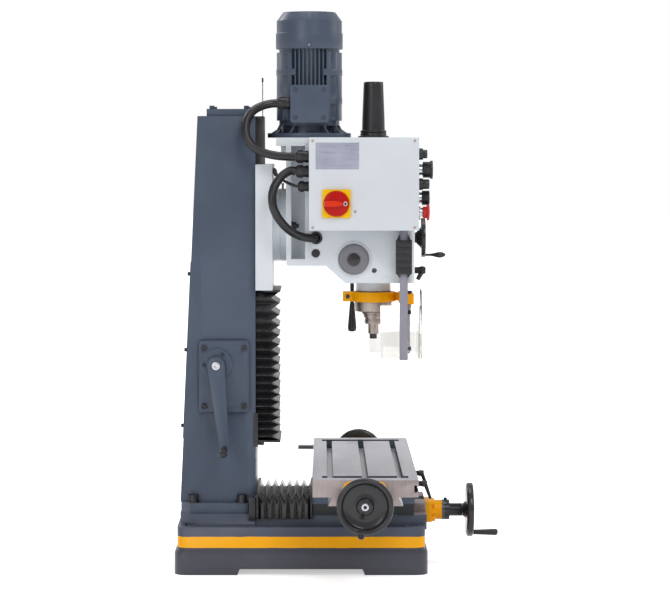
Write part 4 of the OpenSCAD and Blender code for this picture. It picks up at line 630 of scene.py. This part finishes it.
# sideOut and sideIn are (half width, crest): the crest dips where the sides stand out; uneven and sag are
# (amount, turn from one crease to the next), for pleats that aren't all alike
columnFolds = {"count": 17, "start": 305.5, "end": 659.5, "sideOut": (103.4, 72.5), "sideIn": (88, 51.6),
               "base": 107.6, "crease": 0.8, "cloth": 0.8, "slack": 0.7, "uneven": (0.1, 2.3),
               "sag": (0.5, 1.7), "midSag": 1.4}
bm = bmesh.new()
foldedSheet(bm, columnFolds, lambda across, out, along: (across, out, along))
columnGuard = finishPiece(bm, "columnBellowsFolds", "bellowsCloth", None, replaces=("column_bellows",),
                          smoothAngle=50)
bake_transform(columnGuard)

endPlates = {"half": 104, "front": 50, "foot": (107.6, 301, 305.8), "top": (89, 659.2, 663.7), "bevel": 0.6}
strap = {"web": ((103, 103), (106.5, 108)), "flange": ((105.2, 103), (107, 114)), "low": 291, "high": 371,
         "bevel": 0.4, "screws": (304, 331, 358), "screwY": 109.5, "screw": (2.6, 1.6)}


def addEndPlate(bm, plate):
    back, low, high = endPlates[plate]
    half, front = endPlates["half"], endPlates["front"]
    addBlock(bm, (-half, front, low), (half, back, high), endPlates["bevel"])


bm = bmesh.new()
addEndPlate(bm, "foot")
for side in (-1, 1):
    for near, far in (strap["web"], strap["flange"]):
        addSideBlock(bm, side, (*near, strap["low"]), (*far, strap["high"]), strap["bevel"])
    for height in strap["screws"]:
        addScrew(bm, (side * strap["flange"][1][0], strap["screwY"], height), (side, 0, 0), *strap["screw"])
finishPiece(bm, "columnBellowsFoot", "blackOxide", "root")
bm = bmesh.new()
addEndPlate(bm, "top")
finishPiece(bm, "columnBellowsTop", "blackOxide", "z_saddle")

crossFolds = {"count": 7, "start": 102.4, "end": -21.8, "sideOut": (153.6, 160.5), "sideIn": (143.8, 181.6),
              "base": 124.6, "crease": 0.8, "cloth": 0.8, "slack": 0.02, "uneven": (0.1, 2.3),
              "sag": (0.5, 1.7), "midSag": 1.4}
bm = bmesh.new()
foldedSheet(bm, crossFolds, lambda across, out, along: (across, along, out))
crossGuard = finishPiece(bm, "crossBellowsFolds", "bellowsCloth", None, replaces=("cross_bellows",),
                         smoothAngle=50)
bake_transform(crossGuard)

crossPlates = {"outer": 154, "inner": 141.5, "foot": 124.1, "under": 155.9, "top": 182,
               "front": (-25, -21.6), "rear": (101.5, 108.9), "bevel": 0.4}
outer, inner, foot = crossPlates["outer"], crossPlates["inner"], crossPlates["foot"]
under, top = crossPlates["under"], crossPlates["top"]
arch = [(-outer, foot), (-inner, foot), (-inner, under), (inner, under), (inner, foot), (outer, foot),
        (outer, top), (-outer, top)]
rearTabs = {"low": (150, 105.6, 124.1), "high": (154, 124, 176), "bevel": 0.5}
bm = bmesh.new()
addArch(bm, arch, *crossPlates["front"], crossPlates["bevel"])
finishPiece(bm, "crossBellowsFront", "blackOxide", "cross_saddle")
bm = bmesh.new()
addArch(bm, arch, *crossPlates["rear"], crossPlates["bevel"])
for side in (-1, 1):
    addSideBlock(bm, side, rearTabs["low"], rearTabs["high"], rearTabs["bevel"])
finishPiece(bm, "crossBellowsRear", "blackOxide", "root")
print("folded guards made")


# conduits and the thin lead
conduits = {"radius": 10, "steps": 6, "splitPoint": 9, "lap": 0.1}


def smoothRoute(points):
    # one smooth curve through the points given
    points = [Vector(p) for p in points]
    route = []
    for i in range(len(points) - 1):
        a, b, c, d = points[max(i - 1, 0)], points[i], points[i + 1], points[min(i + 2, len(points) - 1)]
        for s in range(conduits["steps"]):
            t = s / conduits["steps"]
            route.append(0.5 * (2 * b + (c - a) * t + (2 * a - 5 * b + 4 * c - d) * t * t
                                + (3 * b - a - 3 * c + d) * t ** 3))
    return route + [points[-1]]


def addTube(bm, route, radius, sides=20):
    up = Vector((1, 0, 0))
    rings = []
    for i, point in enumerate(route):
        along = (route[min(i + 1, len(route) - 1)] - route[max(i - 1, 0)]).normalized()
        across = (up - up.dot(along) * along).normalized()
        other = along.cross(across)
        rings.append([bm.verts.new(point + radius * (math.cos(a) * across + math.sin(a) * other))
                      for a in (2 * math.pi * k / sides for k in range(sides))])
    for first, second in zip(rings, rings[1:]):
        for k in range(sides):
            bm.faces.new((first[k], first[(k + 1) % sides], second[(k + 1) % sides], second[k]))
    bm.faces.new(rings[0][::-1])
    bm.faces.new(rings[-1])


motorRoute = smoothRoute([(-102, 57, 1107), (-103, 72, 1106), (-110, 92, 1101), (-122, 112, 1090),
                          (-134, 126, 1072), (-144, 131, 1048), (-152, 126, 1022), (-158, 108, 1001),
                          (-162, 84, 989), (-164, 56, 983), (-165, 30, 981), (-165, 13, 981)])
headRoute = smoothRoute([(-165, 13, 946.5), (-168, 25, 948), (-178, 42, 938), (-190, 57, 920),
                         (-198, 65, 902), (-202, 67, 884), (-202, 64, 861.5), (-196, 53, 838),
                         (-183, 35, 815.5), (-164, 12, 798.5), (-143, -10, 790.5), (-126, -27, 788),
                         (-112, -34.5, 788.5)])
leadRoute = smoothRoute([(-160, 8, 911), (-158, 24, 916), (-150, 42, 925), (-140, 54, 934), (-131, 60, 943),
                         (-121, 60.5, 947), (-114, 62, 948.5)])
# the motor's conduit in two lengths, its loop and its end
split = conduits["splitPoint"] * conduits["steps"]
bm = bmesh.new()
addTube(bm, motorRoute[:split + 1], conduits["radius"])
motorLoop = finishPiece(bm, "motorConduitLoop", "conduitPvc", "head", replaces=("motor_conduit",))
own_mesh(motorLoop)
bm = bmesh.new()
addTube(bm, motorRoute[split - 1:], conduits["radius"] - conduits["lap"])
finishPiece(bm, "motorConduitEnd", "conduitPvc", "head")

glands = [{"at": (-102, 25.5, 1107), "length": 31, "radius": 14.2},
          {"at": (-165, -18.6, 946.5), "length": 31, "radius": 14.2},
          {"at": (-165, -18.6, 981), "length": 31, "radius": 14.2},
          {"at": (-160, -18.6, 911), "length": 26, "radius": 12}]
gripRibs = 12


def addGland(bm, at, length, radius):
    # hexagon against the wall, then the domed nut with its grip ribs
    depth = length * 0.26
    place = Matrix.Translation((at[0], at[1] + depth / 2, at[2])) @ Matrix.Rotation(math.pi / 2, 4, "X")
    lock = bmesh.ops.create_cone(bm, cap_ends=True, segments=6, radius1=radius, radius2=radius, depth=depth,
                                 matrix=place)
    easeEdges(bm, lock["verts"], 0.8)
    spun(bm, [(0, length * 0.2), (radius * 0.92, length * 0.2), (radius * 0.92, length * 0.42),
              (radius * 0.99, length * 0.44), (radius * 0.99, length - 4), (radius - 2.2, length - 0.6),
              (radius - 3.6, length), (0, length)], "Y", at, 40)
    for k in range(gripRibs):
        turn = 2 * math.pi * k / gripRibs
        spot = Vector((at[0] + radius * math.cos(turn), at[1], at[2] + radius * math.sin(turn)))
        addRod(bm, spot + Vector((0, length * 0.46, 0)), spot + Vector((0, length - 4.5, 0)), 1.1, sides=8)


grommet = {"at": (-115, -34.5, 788.5),
           "profile": [(10.2, 0), (15, 0), (15, -3.5), (13.5, -5), (10.6, -5), (10.2, -4.4), (10.2, 0)]}
blankPlug = {"at": (-115, -34, 752), "profile": [(0, 0), (10, 0), (10, -1.6), (9, -2.5), (0, -2.9)]}
bm = bmesh.new()
addTube(bm, headRoute, conduits["radius"])
for gland in glands:
    addGland(bm, **gland)
spun(bm, grommet["profile"], "X", grommet["at"], 40)
spun(bm, blankPlug["profile"], "X", blankPlug["at"], 32)
finishPiece(bm, "headConduit", "conduitPvc", "head", replaces=("head_conduit",))

thinLead = {"radius": 3.5, "sides": 14}
leadBoot = {"start": (-128, 58.6, 937), "end": (-117.5, 66, 950), "radius": 4.6, "endRadius": 6}
bm = bmesh.new()
addTube(bm, leadRoute, **thinLead)
lead = finishPiece(bm, "sensorLead", "conduitPvc", None, replaces=("sensor_lead",))
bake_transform(lead)
bm = bmesh.new()
addRod(bm, **leadBoot)
finishPiece(bm, "leadBoot", "gripPlastic", "z_saddle")
print("conduits made")

# small things on the control box and the motor
outward = (-1, 0, 0)
box = {"face": -210, "screw": (3, 2),
       "screws": ((-27, 816), (-265, 816), (-27, 1018), (-265, 1018), (-126, 853)),
       "plateLow": (-210.8, -135, 952), "plateHigh": (-209.9, -34, 1014), "plateFace": -210.7,
       "rivet": (1.4, 0.8), "rivets": ((-131, 956), (-38, 956), (-131, 1010), (-38, 1010))}
terminal = {"face": -125, "across": (-52.5, 13.8), "up": (1073.3, 1139.2), "screw": (3.4, 1.4),
            "seat": [(3.6, 0), (5, 0), (5, -0.5), (3.6, -0.5), (3.6, 0)]}
cowlScrew = {"start": (-85.5, motorY, 1246), "end": (-88.5, motorY, 1246), "radius": 3, "endRadius": 2.6}
oiler = ({"start": (0, 45.5, 902), "end": (0, 45.5, 913), "radius": 2.4},
         {"start": (0, 45.5, 912.5), "end": (0, 45.5, 916.5), "radius": 3.2})
armLink = {"low": (-9, -234.5, 633), "high": (9, -220, 653), "bevel": 0.8}
bm = bmesh.new()
for y, z in box["screws"]:
    addScrew(bm, (box["face"], y, z), outward, *box["screw"])
# the cover screws carry the painted reddish-brown shade
finishPiece(bm, "coverScrews", "screwPaintedShade", "head")
bm = bmesh.new()
addBlock(bm, box["plateLow"], box["plateHigh"], 0.3, 1)
finishPiece(bm, "barePlate", "plateAluminium", "head")
bm = bmesh.new()
for y, z in box["rivets"]:
    addScrew(bm, (box["plateFace"], y, z), outward, *box["rivet"])
finishPiece(bm, "plateRivets", "turnedSteel", "head")
bm = bmesh.new()
seats = bmesh.new()
for y in terminal["across"]:
    for z in terminal["up"]:
        addScrew(bm, (terminal["face"], y, z), outward, *terminal["screw"])
        spun(seats, terminal["seat"], "X", (terminal["face"], y, z), 24)
finishPiece(bm, "terminalScrews", "slateEnamel", "head")
finishPiece(seats, "terminalScrewSeats", "blackOxide", "head")
bm = bmesh.new()
addRod(bm, **cowlScrew)
finishPiece(bm, "cowlScrew", "dullSteel", "head")
bm = bmesh.new()
for rod in oiler:
    addRod(bm, **rod)
finishPiece(bm, "discOiler", "dullSteel", "z_saddle")
bm = bmesh.new()
addBlock(bm, **armLink)
finishPiece(bm, "guardArmLink", "yellowEnamel", bodyOf("guard_bracket"))
print("box details made")


# handwheels
def wheelProfile(wheel, sign):
    # from the back of the hub out over the rim and down the dished front, as (radius, place along the axis)
    rim, hub, bore, width = wheel["rim"], wheel["hub"], wheel["bore"], wheel["width"]
    line = [(bore, 0), (hub, 0), (hub + 3, 5), (hub + 5, 9),  # back of the hub and the web
            (rim - 18, width - 17), (rim - 10, width - 17.5), (rim - 3, width - 16),  # rim
            (rim - 0.6, width - 13.5), (rim, width - 11), (rim, width - 4.5), (rim - 1, width - 1.8),
            (rim - 3.2, width - 0.3), (rim - 5.5, width), (rim - 9, width - 0.6), (rim - 11.5, width - 2.6),
            (rim - 13.5, width - 6.5),
            (rim - 17, width - 9), (hub + 8, width - 9.5), (hub + 2.5, width - 8),  # dished front
            (hub + 0.6, width - 4), (hub - 0.6, width - 0.8), (hub - 2, width), (bore, width), (bore, 0)]
    return [(r, sign * a) for r, a in line]


tableWheel = {"at": (450, -145, 202), "rim": 64, "hub": 18, "bore": 9.5, "width": 30, "pinReach": 54,
              "pinAngle": math.radians(11), "pinCollar": (12.5, 30.4, 6.2), "socket": (31, 32.4, 3.7),
              "pin": (12, 103, 4), "pinTip": (102.8, 103.8, 4),
              "nut": [(0, 27), (8.6, 27), (8.6, 34), (7.6, 35), (4.2, 35), (3.4, 32), (0, 32)]}
tableWheelBody = bodyOf("table_handwheels")


def hubOf(side):
    return Vector((side * tableWheel["at"][0], *tableWheel["at"][1:]))


def pinOf(side):
    # the left wheel is the right one mirrored, with its pin swung the other way
    reach, angle = tableWheel["pinReach"], tableWheel["pinAngle"]
    return hubOf(side) + Vector((0, -reach * math.sin(angle) * side, -reach * math.cos(angle)))


def addAlong(bm, centre, side, part, endRadius=None):
    # a rod outwards from the wheel, part being (start, end, radius)
    start, end, radius = part
    addRod(bm, centre + Vector((start * side, 0, 0)), centre + Vector((end * side, 0, 0)), radius, endRadius)


bm = bmesh.new()
for side in (-1, 1):
    spun(bm, wheelProfile(tableWheel, side), "X", hubOf(side), 96)
finishPiece(bm, "tableWheels", "phenolicBlack", tableWheelBody, replaces=("table_handwheels",),
            smoothAngle=40)
bm = bmesh.new()
for side in (-1, 1):
    spun(bm, [(r, side * a) for r, a in tableWheel["nut"]], "X", hubOf(side), 36)
    addAlong(bm, pinOf(side), side, tableWheel["pinCollar"])
finishPiece(bm, "tableWheelSteel", "turnedSteel", tableWheelBody)
bm = bmesh.new()
for side in (-1, 1):
    addAlong(bm, hubOf(side), side, tableWheel["socket"])
    addAlong(bm, pinOf(side), side, tableWheel["pin"])
    addAlong(bm, pinOf(side), side, tableWheel["pinTip"], 3)
finishPiece(bm, "tableWheelSockets", "blackOxide", tableWheelBody)

crossWheel = {"at": (0, -389, 125), "rim": 65, "hub": 15, "bore": 9, "width": 26, "pinZ": 70,
              "pin": (-397, -472, 4), "pinCollar": (-399, -415.4, 6),
              "nut": [(0, -24), (8, -24), (8, -29), (7, -30), (4, -30), (3.2, -27), (0, -27)]}
crossWheelBody = bodyOf("cross_handwheel")
bm = bmesh.new()
spun(bm, wheelProfile(crossWheel, -1), "Y", crossWheel["at"], 96)
finishPiece(bm, "crossWheel", "phenolicBlack", crossWheelBody, replaces=("cross_handwheel",), smoothAngle=40)
bm = bmesh.new()
spun(bm, crossWheel["nut"], "Y", crossWheel["at"], 36)
for start, end, radius in (crossWheel["pin"], crossWheel["pinCollar"]):
    addRod(bm, (0, start, crossWheel["pinZ"]), (0, end, crossWheel["pinZ"]), radius)
finishPiece(bm, "crossWheelSteel", "turnedSteel", crossWheelBody)
print("handwheels made")

# graduated dials: raised fine lines, longer at fives and tens
dialMarks = {"count": 80, "half": 0.16, "sunk": 0.3, "proud": 0.06, "ten": 0.62, "five": 0.45, "one": 0.3}
dials = {"leftDial": {"axis": "X", "at": (-434.3, -145, 202), "radius": 25, "sign": -1, "width": 14,
                      "body": bodyOf("table_screw")},
         "rightDial": {"axis": "X", "at": (434.3, -145, 202), "radius": 25, "sign": 1, "width": 14,
                       "body": bodyOf("table_screw")},
         "crossDial": {"axis": "Y", "at": (0, -339.3, 125), "radius": 24.3, "sign": -1, "width": 18,
                       "body": bodyOf("cross_screw")}}
for name, dial in dials.items():
    bm = bmesh.new()
    inside, outside = dial["radius"] - dialMarks["sunk"], dial["radius"] + dialMarks["proud"]
    for k in range(dialMarks["count"]):
        rank = "ten" if k % 10 == 0 else "five" if k % 5 == 0 else "one"
        along = sorted((0, dial["sign"] * dial["width"] * dialMarks[rank]))
        across = (-dialMarks["half"], dialMarks["half"])
        spans = (along, across) if dial["axis"] == "X" else (across, along)
        low, high = [Vector((spans[0][i], spans[1][i], (inside, outside)[i])) for i in (0, 1)]
        turn = Matrix.Rotation(2 * math.pi * k / dialMarks["count"], 4, dial["axis"])
        bmesh.ops.create_cube(bm, size=1, matrix=Matrix.Translation(dial["at"]) @ turn
                              @ Matrix.Translation((low + high) / 2) @ Matrix.Diagonal((*(high - low), 1)))
    finishPiece(bm, name + "Marks", "plateAluminium", dial["body"])
print("dials marked")
